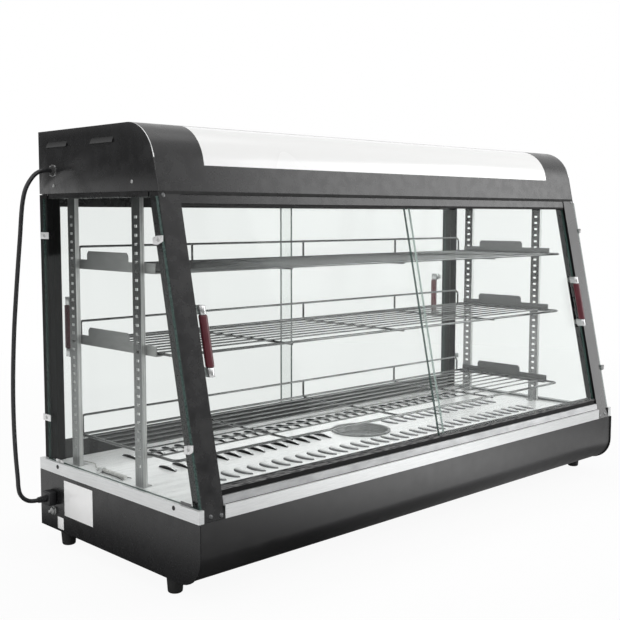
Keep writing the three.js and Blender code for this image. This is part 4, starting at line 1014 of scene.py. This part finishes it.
def add_mesh(name, form, finish, body="case", stands_for=(), sharp_degrees=38):
    """Puts a form into the scene as a piece, smooth between its sharp edges."""
    bmesh.ops.recalc_face_normals(form, faces=form.faces)
    for vertex in form.verts:
        vertex.co = to_row(vertex.co)
    for face in form.faces:
        face.smooth = True
    for edge in form.edges:
        edge.smooth = len(edge.link_faces) == 2 and edge.calc_face_angle() < math.radians(sharp_degrees)
    mesh = bpy.data.meshes.new(name)
    form.to_mesh(mesh)
    form.free()
    return add_object(name, mesh, finish, body, stands_for)


def carved(form, cutter):
    """The form with the cutter's solids taken away."""
    holders = []
    for source in (form, cutter):
        bmesh.ops.recalc_face_normals(source, faces=source.faces)
        mesh = bpy.data.meshes.new("carving")
        source.to_mesh(mesh)
        source.free()
        holders.append(bpy.data.objects.new("carving", mesh))
        bpy.context.scene.collection.objects.link(holders[-1])
    cut = holders[0].modifiers.new("cut", "BOOLEAN")
    cut.object = holders[1]
    cut.operation = "DIFFERENCE"
    cut.solver = "EXACT"
    result = bmesh.new()
    result.from_object(holders[0], bpy.context.evaluated_depsgraph_get())
    for holder in holders:
        mesh = holder.data
        bpy.data.objects.remove(holder)
        bpy.data.meshes.remove(mesh)
    return result


def lean(form):
    """Leans an upright form back along the front slope."""
    for vertex in form.verts:
        vertex.co.y += slope_y(vertex.co.z)


# Panels with a hole. A reach gives how far the hole goes from its centre at an angle.
def rectangle_reach(rect, centre):
    """How far it is from a point inside a rectangle to its edge."""
    (left, right), (low, high) = rect

    def reach(angle):
        across, up = math.cos(angle), math.sin(angle)
        gaps = [((right if across > 0 else left) - centre[0]) / across] if abs(across) > TINY else []
        gaps += [((high if up > 0 else low) - centre[1]) / up] if abs(up) > TINY else []
        return min(gaps)

    return reach


def hole_angles(rect, centre, extra, steps):
    """Evenly spaced angles and those of the rectangle's and the hole's corners, in order."""
    corners = [(x, y) for x in rect[0] for y in rect[1]] + list(extra)
    exact = [math.atan2(y - centre[1], x - centre[0]) % math.tau for x, y in corners]
    even = [math.tau * (step + 0.5) / steps for step in range(steps)]
    loose = [a for a in even if min(abs(a - b) for b in exact) > ANGLE_GAP]
    return sorted(set(exact) | set(loose))


def add_floor_panel(form, rect):
    add_prism(form, block_outline(*rect), "z", FLOOR_TOP, FLOOR_TOP - FLOOR_SHEET)


def add_holed_panel(form, rect, centre, reach, extra=(), steps=24):
    """A panel of the floor with one hole through it."""
    angles = hole_angles(rect, centre, extra, steps)
    outer = rectangle_reach(rect, centre)
    rings = []
    for distance, z in ((outer, 0), (reach, 0), (reach, FLOOR_SHEET), (outer, FLOOR_SHEET)):
        spots = [(distance(a) * math.cos(a), distance(a) * math.sin(a)) for a in angles]
        rings.append([form.verts.new((centre[0] + x, centre[1] + y, FLOOR_TOP - z)) for x, y in spots])
    for lower, upper in zip(rings, rings[1:]):
        join_rings(form, lower, upper)


# Base and feet
def add_base_shell():
    """The bent sheet of the base, with a smooth front corner and the holes for the controls."""
    form, cutter = bmesh.new(), bmesh.new()
    line = [(BASE_FLANGE, SHELL_TOP), (0, SHELL_TOP)]
    line += arc((BASE_CORNER, SHELL_BOTTOM + BASE_CORNER), BASE_CORNER, 180, 270, steps=24)
    line += [(SHELL_REAR, SHELL_BOTTOM), (SHELL_REAR, SHELL_TOP), (SHELL_REAR - BASE_FLANGE, SHELL_TOP)]
    add_bent_sheet(form, line, SHEET, "x", -SHELL_HALF, SHELL_HALF)
    depths = (SHELL_REAR - BASE_FLANGE / 2, SHELL_REAR + BASE_FLANGE)
    for x in SWITCH_XS:
        add_block(cutter, around(x, ROCKER_HALVES[0]), depths, around(CONTROL_Z, ROCKER_HALVES[1]))
    for x, radius in ((KNOB_X, SHAFT_HOLE), (GLAND_X, GLAND_HOLE)):
        rod = [(0, 0), (radius, 0), (radius, BASE_FLANGE), (0, BASE_FLANGE)]
        add_turned(cutter, rod, "y", (x, depths[0], CONTROL_Z), sides=32)
    form = carved(form, cutter)
    add_mesh("base_shell_skin", form, "base_sheet", stands_for=["base_shell"], sharp_degrees=24)


def add_feet():
    profile = filleted(FOOT_PROFILE, FOOT_ROUND)
    for row, y in FOOT_ROWS:
        for label, side in SIDES:
            form = bmesh.new()
            add_turned(form, profile, "z", (side * FOOT_X, y, 0))
            name = f"foot_{row}_{label}"
            add_mesh(f"{name}_rubber", form, "black_rubber", stands_for=[name])


# Floor plate: cells with pressed louvres, and plain panels between them
def lens_reach(side):
    """How far a louvre's half-oval hole goes from its inner point."""
    width, half = LOUVRE_WIDTH - LOUVRE_SKIN, LOUVRE_HALF - LOUVRE_SKIN

    def reach(angle):
        across, up = side * math.cos(angle), math.sin(angle)
        a = (across / width) ** 2 + (up / half) ** 2
        b = 2 * LOUVRE_CENTRE * across / width ** 2
        c = (LOUVRE_CENTRE / width) ** 2 - 1
        oval = (-b + math.sqrt(b * b - 4 * a * c)) / (2 * a)
        return oval if across >= 0 else min(oval, LOUVRE_CENTRE / -across)

    return reach


def louvre_rows(form, x, y, side, inset):
    """Rings of points over a quarter shell that lies a little inside a louvre's outer face."""
    rings = []
    for step in range(LOUVRE_STEPS + 1):
        rise = math.pi / 2 * step / LOUVRE_STEPS
        ring = []
        for place in range(LOUVRE_STEPS * 2 + 1):
            turn = math.pi * place / (LOUVRE_STEPS * 2)
            across = (LOUVRE_WIDTH - inset) * math.sin(turn) * math.cos(rise)
            up = (LOUVRE_RISE - inset) * math.sin(turn) * math.sin(rise)
            along = (LOUVRE_HALF - inset) * math.cos(turn)
            ring.append(form.verts.new((x + side * across, y + along, FLOOR_TOP + up)))
        rings.append(ring)
    return rings


def add_louvre_hood(form, x, y, side):
    """The quarter shell over one louvre's hole, open on its straight side."""
    outer, inner = (louvre_rows(form, x, y, side, inset) for inset in (0.0, LOUVRE_SKIN))
    pairs = [pair for layer in (outer, inner) for pair in zip(layer, layer[1:])] + [(outer[-1], inner[-1])]
    for lower, upper in pairs:
        for place in range(LOUVRE_STEPS * 2):
            form.faces.new([lower[place], lower[place + 1], upper[place + 1], upper[place]])


def add_louvre(form, x, y, side):
    rect = (around(x, LOUVRE_PITCH / 2), around(y, LOUVRE_BAND))
    tips = [(x, tip) for tip in around(y, LOUVRE_HALF - LOUVRE_SKIN)]
    add_holed_panel(form, rect, (x + side * LOUVRE_CENTRE, y), lens_reach(side), tips)
    add_louvre_hood(form, x, y, side)


def add_louvre_row(form, y, side_of):
    """One row of louvres with the plain plate at its two ends; side_of gives 0 for a place left plain."""
    for count in range(-LOUVRES_PER_SIDE, LOUVRES_PER_SIDE + 1):
        x = count * LOUVRE_PITCH
        if side_of(x):
            add_louvre(form, x, y, side_of(x))
    end = (LOUVRES_PER_SIDE + 0.5) * LOUVRE_PITCH
    for span in ((-FLOOR_HALF, -end), (end, FLOOR_HALF)):
        add_floor_panel(form, (span, around(y, LOUVRE_BAND)))


def middle_side(x):
    """Middle row louvres open away from the dish and leave its place free."""
    if abs(x - DISH_PLACE[0]) < LOUVRE_FREE:
        return 0
    return 1 if x < DISH_PLACE[0] else -1


def add_floor_strips(form):
    """The plain strips between the rows and the panel round the dish."""
    front, middle, rear = (around(row, LOUVRE_BAND) for row in (FRONT_ROW, MIDDLE_ROW, REAR_ROW))
    near, far = FLOOR_NOTCHES
    plain = [
        (around(0, FLOOR_FRONT_HALF), (FLOOR_INSET, near)),
        (around(0, FLOOR_HALF), (near, front[0])),
        (around(0, FLOOR_HALF), (rear[1], far)),
        (around(0, FLOOR_BACK_HALF), (far, OVERALL_DEPTH - FLOOR_INSET)),
    ]
    for span in ((-FLOOR_HALF, DISH_CELL[0]), (DISH_CELL[1], FLOOR_HALF)):
        plain += [(span, (front[1], middle[0])), (span, (middle[1], rear[0]))]
    for rect in plain:
        add_floor_panel(form, rect)
    add_holed_panel(form, (DISH_CELL, (front[1], rear[0])), DISH_PLACE, lambda angle: DISH_HOLE, steps=48)


def add_floor_rim(form):
    """The rim that is bent down along the floor's edges."""
    depths = (FLOOR_TOP - FLOOR_RIM, FLOOR_TOP - FLOOR_SHEET)
    front, back = FLOOR_INSET, OVERALL_DEPTH - FLOOR_INSET
    add_block(form, around(0, FLOOR_FRONT_HALF), (front, front + FLOOR_SHEET), depths)
    add_block(form, around(0, FLOOR_BACK_HALF), (back - FLOOR_SHEET, back), depths)
    for _, side in SIDES:
        add_block(form, sorted((side * FLOOR_HALF, side * (FLOOR_HALF - FLOOR_SHEET))), FLOOR_NOTCHES, depths)


def add_floor_plate():
    form = bmesh.new()
    add_floor_strips(form)
    add_floor_rim(form)
    for y, side_of in ((FRONT_ROW, lambda x: -1), (MIDDLE_ROW, middle_side), (REAR_ROW, lambda x: 1)):
        add_louvre_row(form, y, side_of)
    add_mesh("floor_plate_pressed", form, "bright_floor", stands_for=["floor_plate"])


def add_dish():
    rim, low, sheet = FLOOR_TOP + DISH_RISE, FLOOR_TOP + DISH_RISE - DISH_DEPTH, TRIM_SHEET
    profile = [
        (0, low), (DISH_FLOOR, low), (DISH_WALL, rim - sheet), (DISH_RADIUS - sheet, rim - sheet),
        (DISH_RADIUS - sheet, FLOOR_TOP + SEAT), (DISH_RADIUS, FLOOR_TOP + SEAT), (DISH_RADIUS, rim),
        (DISH_WALL - sheet, rim), (DISH_FLOOR - sheet, low + sheet), (0, low + sheet),
    ]
    form = bmesh.new()
    add_turned(form, filleted(profile, DISH_ROUND), "z", (*DISH_PLACE, 0), sides=96)
    add_mesh("water_dish_spun", form, "spun_dish", stands_for=["water_dish"])


# Hood
def hood_line():
    """The hood's front from its top to its foot, with stations at the window's edges."""
    centre = (HOOD_TOP_FRONT, HOOD_ARC_Z)
    rear_angle = math.degrees(math.acos((WINDOW_REAR - HOOD_TOP_FRONT) / HOOD_ARC))
    line = arc(centre, HOOD_ARC, 90, rear_angle, HOOD_REAR_STEPS)
    line += arc(centre, HOOD_ARC, rear_angle, 180 - SLOPE_DEGREES, HOOD_STEPS)[1:]
    return line + [(slope_y(WINDOW_BOTTOM), WINDOW_BOTTOM), (slope_y(HOOD_BOTTOM), HOOD_BOTTOM)]


def add_shell(form, line, xs, kept=lambda row, column: True):
    """A thin shell to the left of a line, between stations of X; kept says which cells it has."""
    layers = [line, offset_line(line, SHEET)]
    outer, inner = ([[form.verts.new((x, *point)) for x in xs] for point in layer] for layer in layers)
    cells = {(r, c) for r in range(len(line) - 1) for c in range(len(xs) - 1) if kept(r, c)}
    for row, column in sorted(cells):
        corners = [(row, column), (row, column + 1), (row + 1, column + 1), (row + 1, column)]
        form.faces.new([outer[r][c] for r, c in corners])
        form.faces.new([inner[r][c] for r, c in corners][::-1])
        neighbours = [(row - 1, column), (row, column + 1), (row + 1, column), (row, column - 1)]
        for side, neighbour in enumerate(neighbours):
            if neighbour not in cells:
                (r0, c0), (r1, c1) = corners[side], corners[(side + 1) % 4]
                form.faces.new([outer[r0][c0], outer[r1][c1], inner[r1][c1], inner[r0][c0]])
    bmesh.ops.delete(form, geom=[v for v in form.verts if not v.link_faces], context="VERTS")


def add_fascia():
    line = hood_line() + [(slope_y(HOOD_BOTTOM) + HOOD_FLANGE, HOOD_BOTTOM)]
    window = range(HOOD_REAR_STEPS, HOOD_REAR_STEPS + HOOD_STEPS + 1)
    half = HOOD_INNER - SEAT
    form = bmesh.new()
    xs = [-half, -WINDOW_HALF, WINDOW_HALF, half]
    add_shell(form, line, xs, lambda row, column: column != 1 or row not in window)
    add_mesh("hood_fascia_skin", form, "black_sheet", stands_for=["hood_fascia"])


def add_window():
    """The white pane, set a little below the fascia, with a flange behind the opening's edge."""
    line = hood_line()[HOOD_REAR_STEPS:-1]
    form = bmesh.new()
    for depth, half in ((WINDOW_RECESS, WINDOW_HALF - SEAT), (SHEET + SEAT, WINDOW_HALF + WINDOW_LAP)):
        add_shell(form, offset_line(line, depth), [-half, half])
    add_mesh("light_window_pane", form, "white_acrylic", stands_for=["light_window"])


def add_vent_hood(form, side, y):
    """One pressed louvre of a hood end, with closed cheeks at its two ends."""
    face, proud, skin = HALF_FRAME - VENT_SKIN, HALF_FRAME + VENT_PROUD, VENT_SKIN
    section = [
        (face, VENT_TOP), (proud, VENT_BOTTOM), (proud - skin, VENT_BOTTOM),
        (HOOD_INNER, VENT_TOP - skin), (HOOD_INNER, VENT_TOP + skin), (face, VENT_TOP + skin),
    ]
    near, far = around(y, VENT_HALF)
    add_prism(form, [(side * x, z) for x, z in section], "y", near, far)
    cheek = [(side * face, VENT_TOP), (side * proud, VENT_BOTTOM), (side * face, VENT_BOTTOM)]
    for edge in (near, far - skin):
        add_prism(form, cheek, "y", edge, edge + skin)


def is_bare_edge(face):
    """True for the cut edge of a hood end along its arc, where the metal shows."""
    middle = face.calc_center_median()
    along_arc = middle.y < HOOD_TOP_FRONT and middle.z > HOOD_ARC_Z + HOOD_ARC * SLOPE
    return along_arc and abs(middle.x) > HOOD_INNER and abs(face.normal.x) < EDGE_FACING


def vented_plate(side):
    """A hood end with its vents' openings, and on the left the hole for the cord's grommet."""
    form, cutter = bmesh.new(), bmesh.new()
    ends = sorted((side * HOOD_INNER, side * HALF_FRAME))
    add_prism(form, hood_line() + [(REAR_FACE, HOOD_BOTTOM), (REAR_FACE, OVERALL_HEIGHT)], "x", *ends)
    rounded_edges(form, EDGE_ROUND)
    through = (ends[0] - 1, ends[1] + 1)
    for inset in VENT_INSETS:
        add_block(cutter, through, around(OVERALL_DEPTH - inset, VENT_HALF), (VENT_BOTTOM, VENT_TOP))
    if side < 0:
        hole = [(0, 0), (GROMMET_HOLE, 0), (GROMMET_HOLE, 2 * HEAVY_SHEET), (0, 2 * HEAVY_SHEET)]
        add_turned(cutter, hole, "x", (through[0], *CORD_EXIT), sides=32)
    return carved(form, cutter)


def add_hood_end(label, side):
    form = vented_plate(side)
    for inset in VENT_INSETS:
        add_vent_hood(form, side, OVERALL_DEPTH - inset)
    ends_free = HOOD_FLANGE + HOOD_FLANGE_GAP
    flange = (slope_y(HOOD_BOTTOM) + ends_free, REAR_FACE - ends_free)
    reach = sorted((side * (HOOD_INNER - HOOD_FLANGE), side * HOOD_INNER))
    add_block(form, reach, flange, (HOOD_BOTTOM, HOOD_BOTTOM + SHEET))
    bmesh.ops.recalc_face_normals(form, faces=form.faces)
    for face in form.faces:
        face.material_index = int(is_bare_edge(face))
    name = f"hood_end_{label}"
    piece = add_mesh(f"{name}_plate", form, "black_sheet", stands_for=[name])
    piece.data.materials.append(materials["bare_edge"])


# Left standards
def add_left_standards():
    """Slotted channels that open towards the inside, each with a foot and a hook for the lower shelf."""
    outer, inner, low = STANDARD_OUTER, STANDARD_INNER, STANDARD_HEIGHTS[0]
    web = outer + SHEET
    for row, y in STANDARD_ROWS:
        near, far = around(y, STANDARD_HALF)
        outline = [
            (outer, near), (inner, near), (inner, near + SHEET), (web, near + SHEET),
            (web, far - SHEET), (inner, far - SHEET), (inner, far), (outer, far),
        ]
        form, cutter = bmesh.new(), bmesh.new()
        add_prism(form, outline, "z", *STANDARD_HEIGHTS)
        for index in range(SLOT_COUNT):
            height = around(SLOT_TOP - index * SLOT_PITCH, SLOT_HALVES[1])
            add_block(cutter, (outer - 1, web + SHEET), around(y, SLOT_HALVES[0]), height)
        form = carved(form, cutter)
        for end, half, heights in ((*STANDARD_FOOT, (low, low + SHEET)), SHELF_HOOK):
            add_block(form, (outer + SHEET / 2, end), around(y, half), heights)
        name = f"standard_{row}_left"
        add_mesh(f"{name}_channel", form, "streaked_steel", stands_for=[name])


# Wire shelves
def guard_rail(z):
    """The rail behind a shelf, whose left leg has a tighter bend."""
    foot, top = z - CROSS_WIRE, z + GUARD_RISE
    left, right = GUARD_ENDS
    first = arc((left + GUARD_LEFT_CORNER, top - GUARD_LEFT_CORNER), GUARD_LEFT_CORNER, 180, 90, steps=6)
    second = arc((right - SHELF_CORNER, top - SHELF_CORNER), SHELF_CORNER, 90, 0, steps=6)
    return [(left, foot)] + first + second + [(right, foot)]


def shelf_wires(z):
    """The wires of one shelf: radius in millimetres, and the points of each."""
    half, back = SHELF_HALF, SHELF_BACK + FRAME_WIRE
    corner = arc((SHELF_CORNER - half, SHELF_FRONT + SHELF_CORNER), SHELF_CORNER, 180, 270, steps=8)
    outline = [(-half, back)] + corner + [(-x, y) for x, y in reversed(corner)] + [(half, back)]
    low = z - LONG_WIRE - CROSS_WIRE + WELD_BITE
    bend = arc((GUARD_BACK - CROSS_BEND, low + CROSS_BEND), CROSS_BEND, 270, 360, steps=6)
    section = [(SHELF_FRONT, low)] + bend + [(GUARD_BACK, z + GUARD_RISE)]
    wires = [(FRAME_WIRE, [(x, y, z) for x, y in outline])]
    wires.append((FRAME_WIRE, [(-half, SHELF_BACK, z), (half, SHELF_BACK, z)]))
    for y in (LONG_WIRE_FIRST + index * LONG_WIRE_PITCH for index in range(LONG_WIRES)):
        wires.append((LONG_WIRE, [(-half, y, z), (half, y, z)]))
    wires += [(CROSS_WIRE, [(x, y, height) for y, height in section]) for x in CROSS_XS]
    wires.append((CROSS_WIRE, [(x, GUARD_BACK, height) for x, height in guard_rail(z)]))
    return [(radius, [to_row(point) for point in points]) for radius, points in wires]


def add_shelves():
    for row, z in SHELF_HEIGHTS:
        name = f"shelf_{row}"
        curve = wire_curve(f"{name}_wires", shelf_wires(z))
        add_object(f"{name}_wires", curve, "chrome_wire", stands_for=[name])


# Door handles
def grip_centre(door):
    """The middle of a door's grip in millimetres, without the front's slope."""
    low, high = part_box(f"{door}_handle_grip")
    middle = (low + high) / 2 / MILLIMETRE
    y = middle.y + MIDDLE_Y
    return middle.x, y - (slope_y(middle.z) if door.startswith("front") else 0), middle.z


def finish_on_door(form, door, name, finish, stands_for=()):
    """Leans a front door's form and lets it ride on its door."""
    if door.startswith("front"):
        lean(form)
    add_mesh(name, form, finish, door, stands_for)


def add_handle_bar(door, outward):
    """The chrome bar of a door: a strap under the grip and a rounded post at each end."""
    x, y, z = grip_centre(door)
    start = 180 if outward < 0 else 0
    near = y - outward * (HANDLE_STAND_OFF - SEAT)
    outline = arc((x, y), HANDLE_ROUND, start, start + 180, steps=20)
    outline += [(x - outward * HANDLE_ROUND, near), (x + outward * HANDLE_ROUND, near)]
    form = bmesh.new()
    reach = GRIP_HALF + HANDLE_END
    for heights in ((z - reach, z - GRIP_HALF - SEAT), (z + GRIP_HALF + SEAT, z + reach)):
        add_prism(form, outline, "z", *heights)
    rounded_edges(form, HANDLE_EDGE)
    width, depth = HANDLE_STRAP
    add_block(form, around(x, width), around(y, depth), around(z, GRIP_HALF + HANDLE_ROUND))
    node = f"{door}_handle_bar"
    finish_on_door(form, door, f"{node}_chrome", "chrome_handle", [node])


def add_door_bolts(door, outward):
    """Washers and cap nuts of a handle, on the inner side of the door's glass."""
    x, y, z = grip_centre(door)
    inner = y - outward * (HANDLE_STAND_OFF + DOOR_GLASS)
    turned = [(radius, -outward * height) for radius, height in filleted(BOLT_PROFILE, BOLT_ROUND)]
    form = bmesh.new()
    for place in around(z, GRIP_HALF + HANDLE_END / 2):
        add_turned(form, turned, "y", (x, inner, place), sides=28)
    finish_on_door(form, door, f"{door}_bolts", "plated_steel")


def add_grip(door):
    x, y, z = grip_centre(door)
    inner, length = GRIP_RADIUS - GRIP_CHAMFER, 2 * GRIP_HALF
    profile = [
        (0, 0), (inner, 0), (GRIP_RADIUS, GRIP_CHAMFER), (GRIP_RADIUS, length - GRIP_CHAMFER),
        (inner, length), (0, length),
    ]
    form = bmesh.new()
    add_turned(form, filleted(profile, GRIP_ROUND), "z", (x, y, z - GRIP_HALF), sides=36)
    node = f"{door}_handle_grip"
    finish_on_door(form, door, f"{node}_sleeve", "maroon_plastic", [node])


def add_handles():
    for door, outward in DOORS:
        add_handle_bar(door, outward)
        add_door_bolts(door, outward)
        add_grip(door)


# Controls on the back
def add_knob():
    form = bmesh.new()
    profile = filleted(KNOB_PROFILE, KNOB_ROUND)
    add_turned(form, profile, "y", (KNOB_X, CONTROL_Y, CONTROL_Z), sides=64)
    add_mesh("thermostat_knob_cap", form, "black_plastic", "knob", ["thermostat_knob"])
    form = bmesh.new()
    half, depths, heights = POINTER_BOX
    ys, zs = [CONTROL_Y + depth for depth in depths], [CONTROL_Z + height for height in heights]
    add_block(form, around(KNOB_X, half), ys, zs)
    rounded_edges(form, POINTER_ROUND)
    add_mesh("thermostat_knob_pointer", form, "white_paint", "knob")


def add_gland():
    form = bmesh.new()
    add_turned(form, GLAND_PROFILE, "y", (GLAND_X, CONTROL_Y, CONTROL_Z), sides=48, closed=True)
    rounded_edges(form, GLAND_ROUND)
    add_mesh("mains_gland_body", form, "black_plastic", stands_for=["mains_gland"])


# Thermostat bulb
def add_bulb():
    """The thermostat's bulb, lying on the floor plate, and its thin capillary tube."""
    z = BULB_BASE + BULB_RADIUS
    route = [(BULB_X + x, BULB_REAR + y, z) for x, y in CAPILLARY_BENDS]
    route.append((CAPILLARY_X, CAPILLARY_Y - CAPILLARY_DIVE, z))
    route += [(CAPILLARY_X, CAPILLARY_Y, height) for height in (FLOOR_TOP, FLOOR_TOP - FLOOR_RIM)]
    bulb = [to_row((BULB_X, y, z)) for y in (BULB_FRONT, BULB_REAR)]
    wires = [(BULB_RADIUS, bulb), (CAPILLARY_RADIUS, smooth_line(route, 6))]
    curve = wire_curve("thermostat_bulb_tube", wires)
    add_object("thermostat_bulb_tube", curve, "nickel_bulb", stands_for=["thermostat_bulb"])


def add_bulb_saddle():
    form = bmesh.new()
    line = SADDLE_LINE + [(-x, height) for x, height in reversed(SADDLE_LINE)]
    section = [(BULB_X + x, BULB_BASE + height) for x, height in filleted(line, SADDLE_ROUND)]
    add_bent_sheet(form, section, SADDLE_SHEET, "y", *around(sum(BULB_CLIP) / 2, SADDLE_HALF))
    add_mesh("bulb_saddle", form, "clip_plate")


def add_bulb_springs():
    lines = [[(BULB_X + side * gap, y, SPRING_Z) for y, gap in SPRING_LINE] for side in (-1, 1)]
    curve = wire_curve("bulb_springs", [(SPRING_WIRE, smooth_line(line, 5)) for line in lines])
    add_object("bulb_springs", curve, "chrome_wire")


# Link cord with its grommet and plug
def add_grommet():
    form = bmesh.new()
    add_turned(form, filleted(GROMMET_PROFILE, GROMMET_ROUND), "x", (-HALF_FRAME - SEAT, *CORD_EXIT))
    return add_mesh("cord_grommet_collar", form, "black_rubber", stands_for=["cord_grommet"])


def plug_relief():
    """The ribbed sleeve behind the plug, slimmer towards the cord."""
    step = RELIEF_LENGTH / RELIEF_RIBS
    rib_end, groove_start = (step * share for share in RELIEF_SHARES)
    profile = [(0, 1)]
    for rib in range(RELIEF_RIBS):
        radius = RELIEF_RADIUS - rib * RELIEF_TAPER
        start = -rib * step
        profile += [(radius, start), (radius, start - rib_end)]
        profile += [(radius - RELIEF_GROOVE, start - depth) for depth in (groove_start, step)]
    return profile + [(0, -RELIEF_LENGTH)]


def add_plug():
    form = bmesh.new()
    inner = -HALF_WIDTH - SEAT
    outer = inner - PLUG_LENGTH
    add_block(form, (outer, inner), *(around(place, PLUG_HALF) for place in PLUG_PLACE))
    rounded_edges(form, PLUG_ROUND, segments=3)
    nose = [inner + end for end in PLUG_NOSE_SPAN]
    add_block(form, nose, *(around(place, PLUG_NOSE) for place in PLUG_PLACE))
    add_turned(form, plug_relief(), "x", (outer, *PLUG_PLACE), sides=36)
    return add_mesh("link_plug_body", form, "black_plastic", stands_for=["link_plug"])


def add_cord(ends):
    line = smooth_line(CORD_ROUTE, 6)
    curve = wire_curve("link_cord_jacket", [(CORD_RADIUS, line)], 6)
    add_object("link_cord_jacket", curve, "cord_jacket", stands_for=["link_cord"])


def add_cord_washer():
    """The toothed ring between the hood's left end and the cord's grommet."""
    form = bmesh.new()
    x = -HALF_FRAME - SEAT / 3
    add_turned(form, WASHER_PROFILE, "x", (x, *CORD_EXIT), sides=36, closed=True)
    reach, angles = WASHER_TEETH
    for angle in angles:
        spot = arc(CORD_EXIT, reach, angle, angle, steps=1)[0]
        add_turned(form, WASHER_TOOTH, "x", (x, *spot), sides=12)
    add_mesh("cord_washer", form, "bare_edge")


# Small fittings on the ends
def add_head(form, cutter, axis, place, radius, outward):
    """A screw's low domed head on a face, with a slot to be cut."""
    profile = filleted([(radius * share, height) for share, height in HEAD_PROFILE], HEAD_ROUND)
    add_turned(form, [(size, outward * height) for size, height in profile], axis, place, sides=24)
    slot = [around(middle, radius * HEAD_SLOT[0]) for middle in place]
    number = "xyz".index(axis)
    slot[number] = sorted(place[number] + outward * depth for depth in HEAD_SLOT_DEPTHS)
    slot[2] = around(place[2], radius * HEAD_SLOT[1])
    add_block(cutter, *slot)


def add_heads(name, places, axis, finish, outward, radius):
    """A row of screw heads in one piece; those on the front lean with it."""
    form, cutter = bmesh.new(), bmesh.new()
    for place in places:
        add_head(form, cutter, axis, place, radius, outward)
    form = carved(form, cutter)
    if axis == "y":
        lean(form)
    add_mesh(name, form, finish)


def add_side_screws(label, side):
    """The screws of one end: on its trim and hood, and on the front of its pillar."""
    trim = [(side * HALF_WIDTH, *place) for place in TRIM_SCREWS]
    add_heads(f"trim_screws_{label}", trim, "x", "black_plastic", side, TRIM_HEAD)
    hood = [(side * HALF_FRAME, *place) for place in HOOD_SCREWS]
    add_heads(f"hood_screws_{label}", hood, "x", "plated_steel", side, HOOD_HEAD)
    pillar = [(side * x, 0, z) for x, z in PILLAR_SCREWS]
    add_heads(f"pillar_screws_{label}", pillar, "y", "dark_screw", -1, PILLAR_HEAD)


def add_glass_clips(label, side):
    """The plates that hold one end glass: two dog-eared ones in front, and straps at the back."""
    face, outer = side * CLIP_FACE, side * (CLIP_FACE + CLIP_SHEET)
    span = sorted((face, outer))
    form = bmesh.new()
    for outline in FRONT_CLIPS:
        add_prism(form, filleted(outline + outline[:1], CLIP_ROUND), "x", face, outer)
    straps = (REAR_STRAP, *REAR_CLIPS) if side < 0 else REAR_CLIPS
    for strap in straps:
        add_block(form, span, *strap)
    rounded_edges(form, EDGE_ROUND)
    add_mesh(f"glass_clips_{label}", form, "clip_plate")
    places = FRONT_CLIP_SCREWS + [(sum(ys) / 2, sum(zs) / 2) for ys, zs in straps]
    spots = [(outer, *place) for place in places]
    add_heads(f"clip_screws_{label}", spots, "x", "plated_steel", side, CLIP_HEAD)
    form = bmesh.new()
    add_block(form, span, *CORNER_BLOCK)
    rounded_edges(form, EDGE_ROUND)
    add_mesh(f"corner_pad_{label}", form, "grey_pad")


def add_earth_stud():
    """The threaded stud on the left end, with a toothed washer, a nut and the stud's tip."""
    form = bmesh.new()
    face = -HALF_WIDTH - SEAT
    teeth = []
    for index in range(STUD_TEETH):
        angle = 360 * index / STUD_TEETH
        teeth += arc(EARTH_STUD, STUD_TEETH_RADII[index % 2], angle, angle, steps=1)[:1]
    add_prism(form, teeth, "x", face, face - STUD_WASHER)
    nut = arc(EARTH_STUD, NUT_HALF, NUT_TURN, NUT_TURN + 360, steps=6)[:-1]
    add_prism(form, nut, "x", face - STUD_WASHER, face - NUT_TOP)
    rounded_edges(form, NUT_ROUND)
    highlight, root = STUD_RADII
    profile = [(0, 0), (highlight, 0)]
    for turn in range(STUD_TURNS):
        profile += [(highlight, -NUT_TOP - turn), (root, -NUT_TOP - turn - STUD_GROOVE)]
    add_turned(form, profile + [(0, -STUD_END)], "x", (face, *EARTH_STUD), sides=24)
    add_mesh("earth_stud_nut", form, "plated_steel")


def add_plates():
    """The bare rating plate and the bare sticker on the left end."""
    for name, place in (("rating_plate", RATING_PLATE), ("small_sticker", STICKER)):
        form = bmesh.new()
        face = -HALF_WIDTH - PLATE_GAP
        add_block(form, (face - PLATE_SHEET, face), *place)
        rounded_edges(form, PLATE_ROUND)
        add_mesh(name, form, "bare_plate")


def add_seams():
    """Thin dark strips along the front: painted shadow in the gap below the hood, and a joint line below the
    sill.
    """
    for name, heights, half in SEAMS:
        form = bmesh.new()
        add_block(form, around(0, half), SEAM_DEPTHS, heights)
        lean(form)
        add_mesh(name, form, "seam_black")


def build():
    add_camera()
    dress_frame()
    for add_piece in (
        add_base_shell, add_feet, add_floor_plate, add_dish, add_fascia, add_window, add_left_standards,
        add_shelves, add_handles, add_knob, add_gland, add_bulb, add_bulb_saddle, add_bulb_springs,
        add_cord_washer, add_earth_stud, add_plates, add_seams,
    ):
        add_piece()
    for label, side in SIDES:
        add_hood_end(label, side)
        add_side_screws(label, side)
        add_glass_clips(label, side)
    add_cord([add_grommet(), add_plug()])
    add_world()
    add_floor()
    add_lamps()
    bpy.context.scene.view_settings.view_transform = "Standard"


build()
